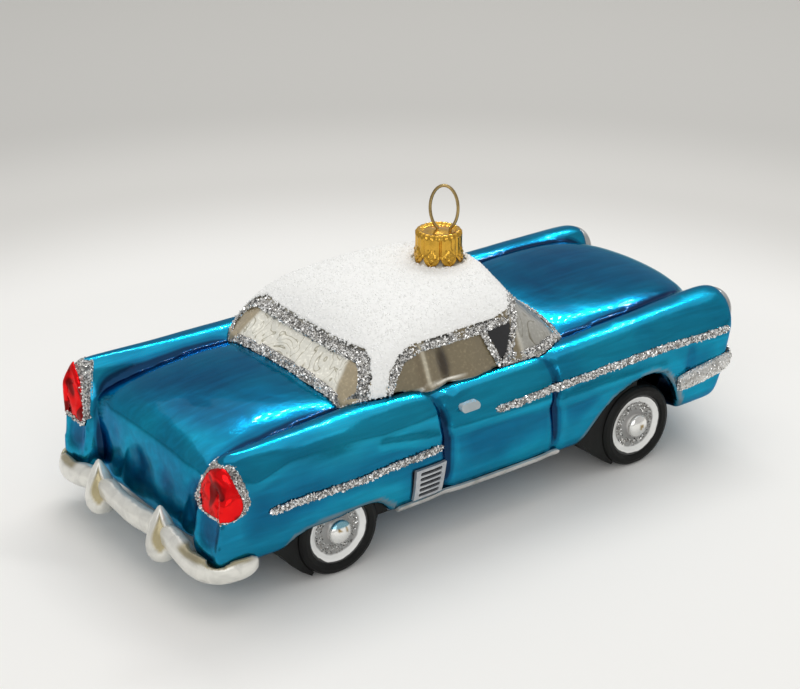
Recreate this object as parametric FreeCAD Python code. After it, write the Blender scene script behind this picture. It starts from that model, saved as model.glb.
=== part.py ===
"""A blown-glass hanging ornament in the shape of a 1950s hardtop car.

The glass is one hollow bubble with the whole car moulded into it: two long fenders beside a middle hull,
a cabin with a short neck on its roof, wheels in their arches, bumpers, lamps and a grille. It is split
here where its finishes change. On it lie a rough white coat on the roof and beads of glitter. A stamped
cap sits over the neck, and a wire hanger stands in the cap on two straight legs.

Axes: +X is the way the car faces, +Y its left side, +Z up. The origin is on the floor under the middle
of the length. Millimetres. Share tables are chosen by hand and follow the sizes named beside them.
"""
import FreeCAD
import Part
import math
import os
from FreeCAD import Vector

# Driving dimensions
HALF_LENGTH = 69.5
BODY_HALF_WIDTH = 30.5
SILL_HEIGHT = 9.0
FENDER_HEIGHT = 31.0
HOOD_HEIGHT = 33.2
ROOF_HEIGHT = 44.2
WHEEL_RADIUS = 9.1
WHEEL_WIDTH = 9.0
FRONT_AXLE_X = 37.0
REAR_AXLE_X = -39.0
CABIN_REAR_X = -33.6
CABIN_LENGTH = 61.6
CABIN_HALF_WIDTH = 25.0
GLASS_WALL = 1.0
COAT_THICKNESS = 0.7
BEAD_THICKNESS = 0.7
BEAD_WIDTH = 1.8
CAP_X = 6.7
CAP_RADIUS = 5.25
CAP_HEIGHT = 6.9

# Small sizes shared by cuts and seats
OVERRUN = 3.0
CAP_GAP = 0.2
WIRE_GAP = 0.15

X = Vector(1, 0, 0)
Y = Vector(0, 1, 0)
Z = Vector(0, 0, 1)
SIDES = ((1, "left"), (-1, "right"))

# Fender, along its length: place of HALF_LENGTH, crown height and side, share of the fender's width from
# its inner wall to its crown, share of that width that its inner wall steps out, scale of the end loops.
FENDER_WIDTH = 16.0
FENDER_STATION_SHARES = (
    (-0.925, 0.99, 0.985, 0.70, 0.36, 0.55), (-0.938, 0.99, 0.985, 0.70, 0.33, 0.82),
    (-0.934, 0.99, 0.985, 0.70, 0.32, 0.95), (-0.910, 1.00, 0.990, 0.70, 0.30, 1.00),
    (-0.850, 1.00, 0.997, 0.70, 0.26, 1.00), (-0.750, 1.00, 1.005, 0.69, 0.16, 1.00),
    (-0.630, 1.00, 1.008, 0.68, 0.05, 1.00), (-0.510, 1.01, 1.008, 0.68, 0.00, 1.00),
    (-0.400, 1.015, 1.006, 0.67, 0.00, 1.00), (-0.310, 1.01, 1.004, 0.67, 0.00, 1.00),
    (-0.245, 0.99, 0.998, 0.68, 0.00, 1.00), (-0.218, 0.965, 0.982, 0.69, 0.00, 1.00),
    (-0.195, 0.96, 0.982, 0.69, 0.00, 1.00), (-0.165, 0.97, 0.998, 0.69, 0.00, 1.00),
    (-0.090, 0.975, 1.000, 0.69, 0.00, 1.00), (0.000, 0.98, 1.000, 0.69, 0.00, 1.00),
    (0.090, 0.985, 1.000, 0.68, 0.00, 1.00), (0.152, 0.985, 0.998, 0.67, 0.00, 1.00),
    (0.176, 0.975, 0.984, 0.67, 0.00, 1.00), (0.196, 0.975, 0.984, 0.67, 0.00, 1.00),
    (0.220, 0.995, 0.998, 0.66, 0.00, 1.00), (0.300, 1.00, 1.002, 0.64, 0.00, 1.00),
    (0.420, 1.015, 1.004, 0.62, 0.00, 1.00), (0.540, 1.03, 1.004, 0.59, 0.00, 1.00),
    (0.660, 1.045, 1.002, 0.55, 0.00, 1.00), (0.770, 1.055, 1.000, 0.52, 0.00, 1.00),
    (0.845, 1.060, 0.998, 0.50, 0.00, 1.00), (0.898, 1.055, 0.994, 0.50, 0.00, 1.00),
    (0.927, 1.040, 0.990, 0.50, 0.02, 0.97), (0.936, 1.020, 0.985, 0.50, 0.03, 0.86),
    (0.936, 1.010, 0.980, 0.50, 0.04, 0.60),
)
# Round a fender: 0 at its inner wall, 1 at its crown, 2 at its outer side, and share of its height.
FENDER_OUTLINE_SHARES = (
    (0.00, 0.06), (0.30, 0.00), (0.75, 0.00), (1.40, 0.00), (1.92, 0.03), (2.00, 0.17), (2.01, 0.36),
    (2.00, 0.53), (2.00, 0.67), (1.92, 0.80), (1.64, 0.92), (1.22, 0.995), (0.84, 1.01), (0.58, 0.95),
    (0.26, 0.79), (0.04, 0.54), (0.00, 0.28),
)
# How far the ends lean forward over a fender's height, from where along the car, and about which height.
TAIL_LEAN_SHARE = 0.16
NOSE_LEAN_SHARE = 0.34
LEAN_START_SHARE = 0.70
LEAN_END_SHARE = 0.94
LEAN_HEIGHT_SHARE = 0.70

# Middle hull, left half of its outline: shares of its half width and of its height.
HULL_HALF_WIDTH = 21.5
HULL_OUTLINE_SHARES = (
    (0.00, 0.00), (0.45, 0.00), (0.85, 0.00), (1.00, 0.08), (1.00, 0.35), (1.00, 0.60), (1.00, 0.78),
    (0.96, 0.895), (0.84, 0.955), (0.62, 0.985), (0.32, 1.000), (0.00, 1.005),
)
# Along the hull: place of HALF_LENGTH, top of HOOD_HEIGHT, scale of the loop, bow of its plan forward.
HULL_STATION_SHARES = (
    (-0.915, 0.74, 0.70, 0.0), (-0.918, 0.76, 0.92, 0.0), (-0.914, 0.79, 0.99, 0.0),
    (-0.895, 0.825, 1.0, 0.0), (-0.850, 0.862, 1.0, 0.0), (-0.770, 0.895, 1.0, 0.0),
    (-0.660, 0.925, 1.0, 0.0), (-0.540, 0.940, 1.0, 0.0), (-0.430, 0.930, 1.0, 0.0),
    (-0.330, 0.880, 1.0, 0.0), (-0.200, 0.830, 1.0, 0.0), (0.000, 0.830, 1.0, 0.0),
    (0.180, 0.860, 1.0, 0.0), (0.290, 0.925, 1.0, 0.0), (0.400, 0.975, 1.0, 0.0),
    (0.520, 0.997, 1.0, 0.0), (0.650, 1.005, 1.0, 0.2), (0.760, 1.000, 1.0, 0.5),
    (0.850, 0.975, 1.0, 0.8), (0.915, 0.920, 1.0, 1.0), (0.955, 0.840, 0.96, 1.0),
    (0.965, 0.770, 0.84, 0.8), (0.960, 0.740, 0.50, 0.0),
)
HULL_BOW = 4.5

# Cabin loops from its foot to the roof: height over the fenders as a share of the roof's rise, rear and
# front place of CABIN_LENGTH, half widths at the rear and front corners, drops of the rear corners, the
# front corners and the sides below the loop's middle, as shares of the roof's rise.
CABIN_LOOP_SHARES = (
    (-0.680, 0.000, 1.000, 0.98, 1.00, 0.00, 0.00, 0.00),
    (-0.420, 0.000, 1.000, 0.99, 1.02, 0.00, 0.00, 0.00),
    (-0.136, 0.003, 0.994, 1.00, 1.05, -0.06, 0.06, -0.06),
    (0.106, 0.044, 0.940, 0.96, 0.98, -0.05, 0.04, -0.02),
    (0.364, 0.096, 0.870, 0.91, 0.90, -0.02, 0.04, 0.00),
    (0.636, 0.153, 0.800, 0.865, 0.82, 0.08, 0.07, 0.06),
    (0.886, 0.224, 0.762, 0.745, 0.70, 0.13, 0.11, 0.07),
    (1.010, 0.360, 0.750, 0.51, 0.47, 0.06, 0.06, 0.03),
    (1.005, 0.510, 0.746, 0.29, 0.29, 0.00, 0.00, 0.00),
)
# Round the loop from the middle of the front to the middle of the rear: place along it and share across.
CABIN_FRONT_SHARES = ((1.00, 0.00), (0.99, 0.45), (0.94, 0.82), (0.86, 1.00))
CABIN_SIDE_SHARES = (0.64, 0.42)
CABIN_REAR_SHARES = ((0.17, 1.00), (0.035, 0.955), (0.005, 0.66), (0.00, 0.00))
NECK_RADIUS = 4.2
NECK_POLES = 18
NECK_FOOT_SHARE = 1.1
NECK_HEIGHT_SHARES = (-0.02, 0.05, 0.15, 0.25, 0.36)

# Glass areas and their glitter edges, seen from the side: place of CABIN_LENGTH, share of the roof's rise.
SIDE_GLASS_SHARES = (
    (0.140, -0.180), (0.167, 0.083), (0.195, 0.280), (0.234, 0.455), (0.292, 0.530), (0.550, 0.530),
    (0.662, 0.545), (0.726, 0.600),
)
SCREEN_REGION_SHARES = ((1.100, 0.660), (1.100, -0.300), (0.140, -0.300))
VENT_POST_SHARES = ((0.556, 0.540), (0.576, 0.212), (0.599, -0.060))
SCREEN_POST_SHARES = ((0.604, -0.060), (0.630, 0.068), (0.664, 0.280), (0.695, 0.470), (0.726, 0.640))
# The rear glass seen from behind, right half: share of CABIN_HALF_WIDTH, share of the roof's rise.
REAR_GLASS_SHARES = (
    (0.900, -0.300), (0.904, 0.040), (0.868, 0.190), (0.828, 0.310), (0.775, 0.410), (0.690, 0.485),
    (0.350, 0.490),
)
REAR_GLASS_REACH_SHARE = 0.30
SCREEN_HEADER_SHARES = (0.715, 0.59)

# Lines on the body's side: place of HALF_LENGTH, share of the body's height.
FRONT_TRIM_SHARES = ((-0.022, 0.700), (0.194, 0.718), (0.427, 0.748), (0.619, 0.758), (0.892, 0.737))
REAR_TRIM_SHARES = ((-0.786, 0.462), (-0.675, 0.474), (-0.521, 0.464), (-0.377, 0.500), (-0.229, 0.509))
SILL_TRIM_SHARES = ((-0.367, 0.041), (0.201, 0.050))
HANDLE_SHARES = ((-0.145, 0.816), (-0.103, 0.820))
SIDE_VENT_SHARES = ((-0.329, 0.095), (-0.226, 0.095), (-0.210, 0.373), (-0.321, 0.382))
HANDLE_THICKNESS = 1.0
HANDLE_WIDTH = 1.5
SILL_TRIM_WIDTH = 1.4
LOUVRE_COUNT = 5
LOUVRE_FRAME = 0.7
LOUVRE_MARGIN_SHARE = 0.06

# Wheel arches seen from the side, from the axle: shares of WHEEL_RADIUS.
FRONT_ARCH_SHARES = (
    (-1.87, 0.44), (-1.78, 1.04), (-1.37, 1.51), (-0.88, 1.91), (-0.385, 2.13), (0.22, 2.26), (0.66, 2.11),
    (1.02, 1.69), (1.21, 1.10), (1.25, 0.44), (-0.33, 0.22),
)
REAR_ARCH_SHARES = (
    (-1.58, 0.33), (-1.52, 0.88), (-1.14, 1.23), (-0.53, 1.36), (0.30, 1.40), (0.88, 1.40), (1.23, 1.15),
    (1.38, 0.71), (1.34, 0.33), (-0.11, 0.11),
)
ARCH_DEPTH = 10.0
TYRE_FLAT = 0.1
# The glass fills the arch beside a tyre: outlines from the axle, shares of WHEEL_RADIUS, up to the sill.
FRONT_WEB_SHARES = (
    ((-1.95, 1.06), (-1.65, 0.99), (-1.36, 0.67), (-1.00, 0.37), (-0.68, 0.16), (0.00, 1.00), (0.00, 2.30),
     (-0.90, 2.20), (-1.60, 1.60)),
)
REAR_WEB_SHARES = (
    ((-1.70, 1.06), (-1.42, 0.86), (-1.18, 0.55), (-0.94, 0.32), (-0.66, 0.12), (0.00, 1.00), (-0.40, 1.60),
     (-1.20, 1.60)),
    ((0.00, 1.00), (0.97, 0.78), (1.04, 1.02), (1.60, 1.02), (1.40, 1.70), (0.60, 1.70)),
)
WEB_INSET = 1.0
# Tyre and wheel disc profiles: shares of WHEEL_RADIUS from the axle and of WHEEL_WIDTH from the inner end.
TYRE_PROFILE_SHARES = (
    (0.00, 0.00), (0.92, 0.00), (0.985, 0.03), (1.00, 0.10), (1.00, 0.82), (0.985, 0.91), (0.94, 0.97),
    (0.86, 1.00), (0.76, 0.98), (0.735, 0.94), (0.735, 0.83), (0.80, 0.86), (0.86, 0.84), (0.885, 0.78),
    (0.885, 0.12), (0.86, 0.11), (0.00, 0.11),
)
DISC_PROFILE_SHARES = (
    (0.00, 0.86), (0.00, 1.00), (0.10, 0.985), (0.20, 0.945), (0.30, 0.875), (0.37, 0.835), (0.50, 0.835),
    (0.57, 0.865), (0.65, 0.905), (0.735, 0.93), (0.735, 0.81), (0.57, 0.745), (0.35, 0.715), (0.20, 0.76),
)

# Bumper bars on plan, left half from the wing round to the middle: shares of HALF_LENGTH, of
# BODY_HALF_WIDTH and of the body's height over the sill, and share of the bar's section.
REAR_BAR_SHARES = (
    (-0.835, 0.985, 0.040, 0.40), (-0.848, 0.985, 0.036, 0.85), (-0.882, 0.985, 0.020, 1.00),
    (-0.935, 0.955, 0.005, 1.05), (-0.968, 0.850, -0.005, 1.10), (-0.975, 0.705, 0.010, 1.05),
    (-0.968, 0.560, 0.055, 1.00), (-0.963, 0.410, 0.085, 1.00), (-0.966, 0.245, 0.065, 1.00),
    (-0.971, 0.080, 0.055, 1.00), (-0.971, 0.000, 0.055, 1.00),
)
FRONT_BAR_SHARES = (
    (0.672, 1.000, 0.340, 0.80), (0.680, 1.003, 0.342, 0.98), (0.780, 1.010, 0.380, 1.00),
    (0.860, 0.995, 0.412, 1.00), (0.903, 0.925, 0.418, 1.00), (0.924, 0.790, 0.408, 1.00),
    (0.943, 0.600, 0.390, 1.00), (0.962, 0.350, 0.370, 1.00), (0.973, 0.100, 0.360, 1.00),
    (0.973, 0.000, 0.360, 1.00),
)
REAR_BAR_DEPTH = 2.0
REAR_BAR_HEIGHT = 2.2
FRONT_BAR_DEPTH = 1.8
FRONT_BAR_HEIGHT = 1.8
BAR_POLES = 10
GUARD_X = -65.9
GUARD_Y = 11.7
GUARD_FOOT_Z = 4.7
GUARD_RADIUS = 2.5
GUARD_HEIGHT = 11.0
GUARD_PROFILE_SHARES = (
    (0.00, 0.00), (0.55, 0.02), (0.85, 0.12), (0.95, 0.30), (1.00, 0.50), (0.92, 0.66), (0.70, 0.80),
    (0.40, 0.93), (0.00, 1.00),
)

# Tail lamp, drawn square to a line that leans out from straight behind: across and up from its middle.
TAIL_LAMP_X = -64.0
TAIL_LAMP_Y = 25.5
TAIL_LAMP_Z = 24.0
TAIL_LAMP_REACH = 6.0
TAIL_LAMP_TURN = 36.9
TAIL_LAMP_SHARES = (
    (0.15, 0.92), (0.44, 0.92), (0.62, 0.66), (0.77, 0.30), (0.91, -0.28), (0.80, -0.60), (0.45, -0.74),
    (0.00, -0.80), (-0.52, -0.80), (-0.62, -0.50), (-0.52, -0.02), (-0.32, 0.42), (-0.10, 0.74),
)
TAIL_LAMP_DEPTH_SHARES = (0.7, 1.25)
LENS_THICKNESS = 0.5
LENS_EDGE_WIDTH = 1.5

HEADLAMP_X = 62.6
HEADLAMP_Y = 22.9
HEADLAMP_Z = 27.8
HEADLAMP_RADIUS = 5.0
HEADLAMP_DEPTH = 3.6
HEADLAMP_TURN = 12.0
HEADLAMP_PROFILE_SHARES = (
    (0.00, 0.00), (1.00, 0.00), (1.00, 0.62), (0.93, 0.80), (0.80, 0.80), (0.76, 0.70), (0.55, 0.88),
    (0.30, 0.97), (0.00, 1.00),
)

GRILLE_HALF_WIDTH = 13.0
GRILLE_HALF_HEIGHT = 3.0
GRILLE_Z = 23.6
GRILLE_THICKNESS = 1.0
GRILLE_FRAME = 0.9
GRILLE_BAR = 0.8
GRILLE_BARS = 3

CAP_WALL = 0.4
PETAL_COUNT = 8
PETAL_TURN = 11.8
PETAL_NOTCH_WIDTH = 2.9
PETAL_NOTCH_HEIGHT = 2.3
CAP_OUTER_SHARES = (
    (1.00, 0.00), (0.985, 0.60), (0.95, 0.79), (0.82, 0.90), (0.46, 0.92), (0.34, 0.99), (0.00, 1.00),
)
WIRE_RADIUS = 0.4
LEG_OFFSET = 1.9
LEG_LENGTH = 13.0
LOOP_HALF_WIDTH = 3.1
LOOP_HEIGHT = 9.0
LOOP_LEAN = 1.1
LOOP_TURN = -44.0
# The wire's loop over the legs: shares of its half width and height, up one side.
LOOP_SHARES = ((0.78, 0.13), (1.00, 0.38), (0.97, 0.66), (0.62, 0.90))


def body_z(share):
    return SILL_HEIGHT + share * (FENDER_HEIGHT - SILL_HEIGHT)


def roof_z(share):
    return FENDER_HEIGHT + share * (ROOF_HEIGHT - FENDER_HEIGHT)


def cabin_x(share):
    return CABIN_REAR_X + share * CABIN_LENGTH


def mix(low, high, share):
    return low + share * (high - low)


def pole_stretch(count):
    """How far out the poles of a smooth closed curve lie for it to pass through a circle of size one."""
    return 3 / (2 + math.cos(2 * math.pi / count))


def aimed(turn, side=1):
    """A level direction turned from +X by an angle in degrees, mirrored for the right side."""
    angle = math.radians(turn)
    return Vector(math.cos(angle), side * math.sin(angle), 0)


def net_solid(rows):
    """A closed solid whose skin is one smooth surface drawn by rows of closed loops of poles."""
    across = len(rows[0])
    surface = Part.BSplineSurface()
    surface.buildFromPolesMultsKnots(
        rows, [4] + [1] * (len(rows) - 4) + [4], [1] * (across + 1),
        list(range(len(rows) - 2)), list(range(across + 1)), False, True, 3, 3,
    )
    low, high = surface.bounds()[:2]
    ends = [Part.Face(Part.Wire(surface.uIso(u).toShape())) for u in (low, high)]
    shell = Part.makeShell([surface.toShape()] + ends)
    shell.sewShape()
    solid = Part.makeSolid(shell)
    if solid.Volume < 0:
        solid.reverse()
    return solid


def plane_normal(row):
    """The direction square to a flat closed loop."""
    total = Vector(0, 0, 0)
    for j, pole in enumerate(row):
        total = total + row[j - 1].cross(pole)
    return total.normalize()


def middle_of(row):
    return sum(row, Vector(0, 0, 0)) * (1 / len(row))


def offset_rows(rows, distance, overrun=0):
    """The rows moved outward by a distance, square to the skin. The two flat ends move outward too."""
    moved = []
    last = len(rows) - 1
    run = middle_of(rows[last]) - middle_of(rows[0])
    for i, row in enumerate(rows):
        before = rows[max(i - 1, 0)]
        after = rows[min(i + 1, last)]
        square = plane_normal(row)
        if square.dot(run) < 0:
            square = square * -1
        loop = []
        for j, pole in enumerate(row):
            along = square if i in (0, last) else after[j] - before[j]
            around = row[(j + 1) % len(row)] - row[j - 1]
            loop.append(pole + around.cross(along).normalize() * distance)
        if i in (0, last):
            shift = square * ((distance + overrun) * (-1 if i == 0 else 1))
            loop = [pole + shift for pole in loop]
        moved.append(loop)
    return moved


def largest(shape):
    return max(shape.Solids, key=lambda solid: solid.Volume)


def laid_on(layer, region, cutters):
    """The part of a grown skin that lies in a region, outside what is under it."""
    return largest(layer.common(region).cut(cutters))


def closed_face(points):
    return Part.Face(Part.makePolygon(points + points[:1]))


def smooth_face(points):
    curve = Part.BSplineCurve()
    curve.interpolate(Points=points, PeriodicFlag=True)
    return Part.Face(Part.Wire(curve.toShape()))


def stadium_face(start, end, width, normal):
    """A round-ended face of one width round a straight line."""
    along = end.sub(start)
    along.normalize()
    aside = along.cross(normal)
    aside.normalize()
    aside.multiply(width / 2)
    along.multiply(width / 2)
    corners = [start.add(aside), end.add(aside), end.sub(aside), start.sub(aside)]
    edges = [
        Part.makeLine(corners[0], corners[1]),
        Part.Arc(corners[1], end.add(along), corners[2]).toShape(),
        Part.makeLine(corners[2], corners[3]),
        Part.Arc(corners[3], start.sub(along), corners[0]).toShape(),
    ]
    return Part.Face(Part.Wire(edges))


def stroke_face(points, width, normal):
    """A round-ended face of one width along a line of points."""
    if len(points) == 2:
        return stadium_face(points[0], points[1], width, normal)
    return Part.Face(Part.makePolygon(points).makeOffset2D(width / 2))


def grown_face(points, width):
    return Part.Face(Part.makePolygon(points + points[:1]).makeOffset2D(width))


def revolved(shares, radius, height, base, axis, across):
    """A solid of revolution from a profile in shares of a radius and of a height along the axis."""
    points = []
    for r, h in shares:
        points.append(base + across * (r * radius) + axis * (h * height))
    return closed_face(points).revolve(base, axis, 360)


def fender_rows(side):
    rows = []
    for place, crown, outer_share, crown_share, step, scale in FENDER_STATION_SHARES:
        outer = BODY_HALF_WIDTH * outer_share
        inner = BODY_HALF_WIDTH - FENDER_WIDTH + step * FENDER_WIDTH
        top = mix(inner, outer, crown_share)
        height = crown * (FENDER_HEIGHT - SILL_HEIGHT)
        lean = TAIL_LEAN_SHARE if place < 0 else NOSE_LEAN_SHARE
        lean = lean * max(0, abs(place) - LEAN_START_SHARE) / (LEAN_END_SHARE - LEAN_START_SHARE)
        loop = []
        for turn, up in FENDER_OUTLINE_SHARES:
            y = mix(inner, top, turn) if turn < 1 else mix(top, outer, turn - 1)
            y = mix((inner + outer) / 2, y, scale)
            z = height * mix(1 / 2, up, scale)
            x = place * HALF_LENGTH + lean * (z - LEAN_HEIGHT_SHARE * height)
            loop.append(Vector(x, side * y, SILL_HEIGHT + z))
        rows.append(loop if side > 0 else loop[::-1])
    return rows


def hull_rows():
    rows = []
    for place, top_share, scale, bow in HULL_STATION_SHARES:
        height = top_share * HOOD_HEIGHT - SILL_HEIGHT
        middle = SILL_HEIGHT + height / 2
        left = []
        for across, up in HULL_OUTLINE_SHARES:
            z = mix(middle, SILL_HEIGHT + up * height, scale)
            y = scale * across * HULL_HALF_WIDTH
            x = place * HALF_LENGTH - bow * HULL_BOW * (scale * across) ** 2
            left.append(Vector(x, y, z))
        rows.append(left + [Vector(p.x, -p.y, p.z) for p in left[-2:0:-1]])
    return rows


def cabin_rows():
    rise = ROOF_HEIGHT - FENDER_HEIGHT
    rows = []
    for up, rear, front, half_rear, half_front, drop_rear, drop_front, drop_side in CABIN_LOOP_SHARES:
        z = roof_z(up)
        length = (front - rear) * CABIN_LENGTH
        wide_rear = half_rear * CABIN_HALF_WIDTH
        wide_front = half_front * CABIN_HALF_WIDTH
        left = []
        for along, across in CABIN_FRONT_SHARES:
            x = cabin_x(rear) + along * length
            left.append(Vector(x, across * wide_front, z - across * drop_front * rise))
        for along in CABIN_SIDE_SHARES:
            wide = mix(wide_rear, wide_front, along)
            left.append(Vector(cabin_x(rear) + along * length, wide, z - drop_side * rise))
        for along, across in CABIN_REAR_SHARES:
            x = cabin_x(rear) + along * length
            left.append(Vector(x, across * wide_rear, z - across * drop_rear * rise))
        rows.append(left + [Vector(p.x, -p.y, p.z) for p in left[-2:0:-1]])
    for i, up in enumerate(NECK_HEIGHT_SHARES):
        radius = pole_stretch(NECK_POLES) * NECK_RADIUS
        if i == 0:
            radius = radius * NECK_FOOT_SHARE
        loop = []
        for k in range(NECK_POLES):
            loop.append(Vector(CAP_X, 0, roof_z(1 + up)) + aimed(360 * k / NECK_POLES) * radius)
        rows.append(loop)
    return rows


def side_points(shares, side, y):
    return [Vector(place * HALF_LENGTH, side * y, body_z(up)) for place, up in shares]


def cabin_side_points(shares, side, y):
    return [Vector(cabin_x(along), side * y, roof_z(up)) for along, up in shares]


def arch_points(axle, shares, side, y):
    return [Vector(axle + a * WHEEL_RADIUS, side * y, b * WHEEL_RADIUS) for a, b in shares]


def bar_solid(half_shares, half_depth, half_height):
    """A rounded bar that follows a path on plan from the left side round to the right side."""
    path = half_shares + tuple((x, -y, z, share) for x, y, z, share in half_shares[-2::-1])
    places = [Vector(x * HALF_LENGTH, y * BODY_HALF_WIDTH, body_z(z)) for x, y, z, share in path]
    rows = []
    for i, place in enumerate(places):
        along = places[min(i + 1, len(places) - 1)] - places[max(i - 1, 0)]
        along.z = 0
        along.normalize()
        outward = along.cross(Z)
        size = path[i][3] * pole_stretch(BAR_POLES)
        row = []
        for k in range(BAR_POLES):
            turn = 2 * math.pi * k / BAR_POLES
            out = outward * (half_depth * size * math.cos(turn))
            row.append(place + out + Z * (half_height * size * math.sin(turn)))
        rows.append(row)
    return net_solid(rows)


def make_glass():
    """The body shell with its arches, the cabin, and the plain outer solids that later pieces lie on."""
    fenders = {side: fender_rows(side) for side, name in SIDES}
    rows = [fenders[1], hull_rows(), fenders[-1]]
    skins = [net_solid(r) for r in rows]
    outer = skins[0].fuse(skins[1:]).removeSplitter()
    hollows = [net_solid(offset_rows(r, -GLASS_WALL)) for r in rows]
    inner = hollows[0].fuse(hollows[1:])
    cabin_outer = net_solid(cabin_rows())
    cabin_inner = net_solid(offset_rows(cabin_rows(), -GLASS_WALL, OVERRUN))
    wall_y = BODY_HALF_WIDTH - ARCH_DEPTH
    for side, name in SIDES:
        for axle, shares in ((FRONT_AXLE_X, FRONT_ARCH_SHARES), (REAR_AXLE_X, REAR_ARCH_SHARES)):
            run = Vector(0, side * (ARCH_DEPTH + OVERRUN), 0)
            outer = outer.cut(smooth_face(arch_points(axle, shares, side, wall_y)).extrude(run))
            points = arch_points(axle, shares, side, wall_y - GLASS_WALL)
            inner = inner.cut(grown_face(points, GLASS_WALL).extrude(run))
    body = largest(outer.cut([inner, cabin_inner]))
    cabin = largest(cabin_outer.cut([cabin_inner, outer]))
    return body, cabin, outer, cabin_outer, rows


def rear_glass_outline():
    """The rear glass seen from behind, from its right foot over the top to its left foot."""
    x = cabin_x(0) - OVERRUN
    half = [Vector(x, a * CABIN_HALF_WIDTH, roof_z(b)) for a, b in REAR_GLASS_SHARES]
    return half + [Vector(p.x, -p.y, p.z) for p in half[::-1]]


def make_cabin_trims(outer, cabin_outer, rows):
    """The glitter round the glass areas and the roof coat between them."""
    pieces = {}
    reach = BODY_HALF_WIDTH + OVERRUN
    neck = Part.makeCylinder(CAP_RADIUS + CAP_GAP, ROOF_HEIGHT, Vector(CAP_X, 0, FENDER_HEIGHT))
    under = [cabin_outer, outer, neck]
    bead = net_solid(offset_rows(cabin_rows(), BEAD_THICKNESS))
    near = [net_solid(offset_rows(r, BEAD_WIDTH)) for r in rows]
    near = near[0].fuse(near[1:])
    rear_outline = rear_glass_outline()
    rear_run = X * (REAR_GLASS_REACH_SHARE * CABIN_LENGTH + OVERRUN)
    rear_area = closed_face(rear_outline).extrude(rear_run)
    rear_frame = stroke_face(rear_outline, BEAD_WIDTH, X).extrude(rear_run)
    pieces["rear_window_glitter"] = laid_on(bead, rear_frame.fuse(rear_area.common(near)), under)
    posts = []
    for side, name in SIDES:
        post = stroke_face(cabin_side_points(SCREEN_POST_SHARES, side, reach), BEAD_WIDTH, Y)
        posts.append(post.extrude(Y * (-side * reach)))
    box_size = 2 * reach
    screen_foot = Vector(cabin_x(SCREEN_POST_SHARES[0][0]), -reach, 0)
    foot_box = Part.makeBox(box_size, box_size, box_size, screen_foot)
    header_x, header_up = SCREEN_HEADER_SHARES
    header_corner = Vector(cabin_x(header_x), -reach, roof_z(header_up))
    header = Part.makeBox(box_size, box_size, BEAD_WIDTH, header_corner)
    screen = near.common(foot_box).fuse([header] + posts)
    pieces["windscreen_glitter"] = laid_on(bead, screen, under)
    for side, name in SIDES:
        run = Y * (-side * reach)
        edge = stroke_face(cabin_side_points(SIDE_GLASS_SHARES, side, reach), BEAD_WIDTH, Y).extrude(run)
        post = stroke_face(cabin_side_points(VENT_POST_SHARES, side, reach), BEAD_WIDTH, Y).extrude(run)
        pieces["side_window_glitter_" + name] = laid_on(bead, edge.fuse(post), under + [screen, rear_frame])
    side_outline = cabin_side_points(SIDE_GLASS_SHARES + SCREEN_REGION_SHARES, -1, reach)
    side_area = closed_face(side_outline).extrude(Y * (2 * reach))
    coat = net_solid(offset_rows(cabin_rows(), COAT_THICKNESS))
    pieces["roof_coat"] = largest(coat.cut(under + [side_area, rear_area] + list(pieces.values())))
    return pieces


def make_side_trims(bead, outer, rows, side, name):
    """Trim lines, sill, handle and side vent of one side."""
    pieces = {}
    y = BODY_HALF_WIDTH + OVERRUN
    run = Y * (-side * FENDER_WIDTH)
    handle_skin = net_solid(offset_rows(rows, HANDLE_THICKNESS))
    lines = (
        ("front_side_trim_", FRONT_TRIM_SHARES, BEAD_WIDTH, bead),
        ("rear_side_trim_", REAR_TRIM_SHARES, BEAD_WIDTH, bead),
        ("sill_trim_", SILL_TRIM_SHARES, SILL_TRIM_WIDTH, bead),
        ("door_handle_", HANDLE_SHARES, HANDLE_WIDTH, handle_skin),
    )
    for node, shares, width, layer in lines:
        line = stroke_face(side_points(shares, side, y), width, Y).extrude(run)
        pieces[node + name] = laid_on(layer, line, outer)
    corners = side_points(SIDE_VENT_SHARES, side, y)
    slots = []
    for k in range(LOUVRE_COUNT):
        share = mix(LOUVRE_MARGIN_SHARE, 1 - LOUVRE_MARGIN_SHARE, (k + 0.5) / LOUVRE_COUNT)
        start = corners[0] + (corners[3] - corners[0]) * share
        end = corners[1] + (corners[2] - corners[1]) * share
        inset = (end - start).normalize() * (2 * LOUVRE_FRAME)
        slots.append(stadium_face(start + inset, end - inset, LOUVRE_FRAME, Y).extrude(run))
    pieces["side_vent_" + name] = laid_on(bead, closed_face(corners).extrude(run).cut(slots), outer)
    return pieces


def make_lamps(bead, outer, rows, side, name):
    """Tail lamp with its glitter edge, and headlamp, of one side."""
    pieces = {}
    back = aimed(180 - TAIL_LAMP_TURN, side)
    across = aimed(90 - TAIL_LAMP_TURN, side)
    lift, depth = [share * TAIL_LAMP_REACH for share in TAIL_LAMP_DEPTH_SHARES]
    middle = Vector(TAIL_LAMP_X, side * TAIL_LAMP_Y, TAIL_LAMP_Z) + back * lift
    reach = TAIL_LAMP_REACH
    points = [middle + across * (a * reach) + Z * (b * reach) for a, b in TAIL_LAMP_SHARES]
    run = back * -depth
    lens = smooth_face(points).extrude(run)
    edge = grown_face(points, LENS_EDGE_WIDTH).extrude(run).cut(lens)
    lens_skin = net_solid(offset_rows(rows, LENS_THICKNESS))
    pieces["tail_lamp_" + name] = laid_on(lens_skin, lens, outer)
    pieces["tail_lamp_glitter_" + name] = laid_on(bead, edge, outer)
    centre = Vector(HEADLAMP_X, side * HEADLAMP_Y, HEADLAMP_Z)
    aim = aimed(HEADLAMP_TURN, side)
    lamp = revolved(HEADLAMP_PROFILE_SHARES, HEADLAMP_RADIUS, HEADLAMP_DEPTH, centre, aim, Z)
    pieces["headlamp_" + name] = largest(lamp.cut(outer))
    return pieces


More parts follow.
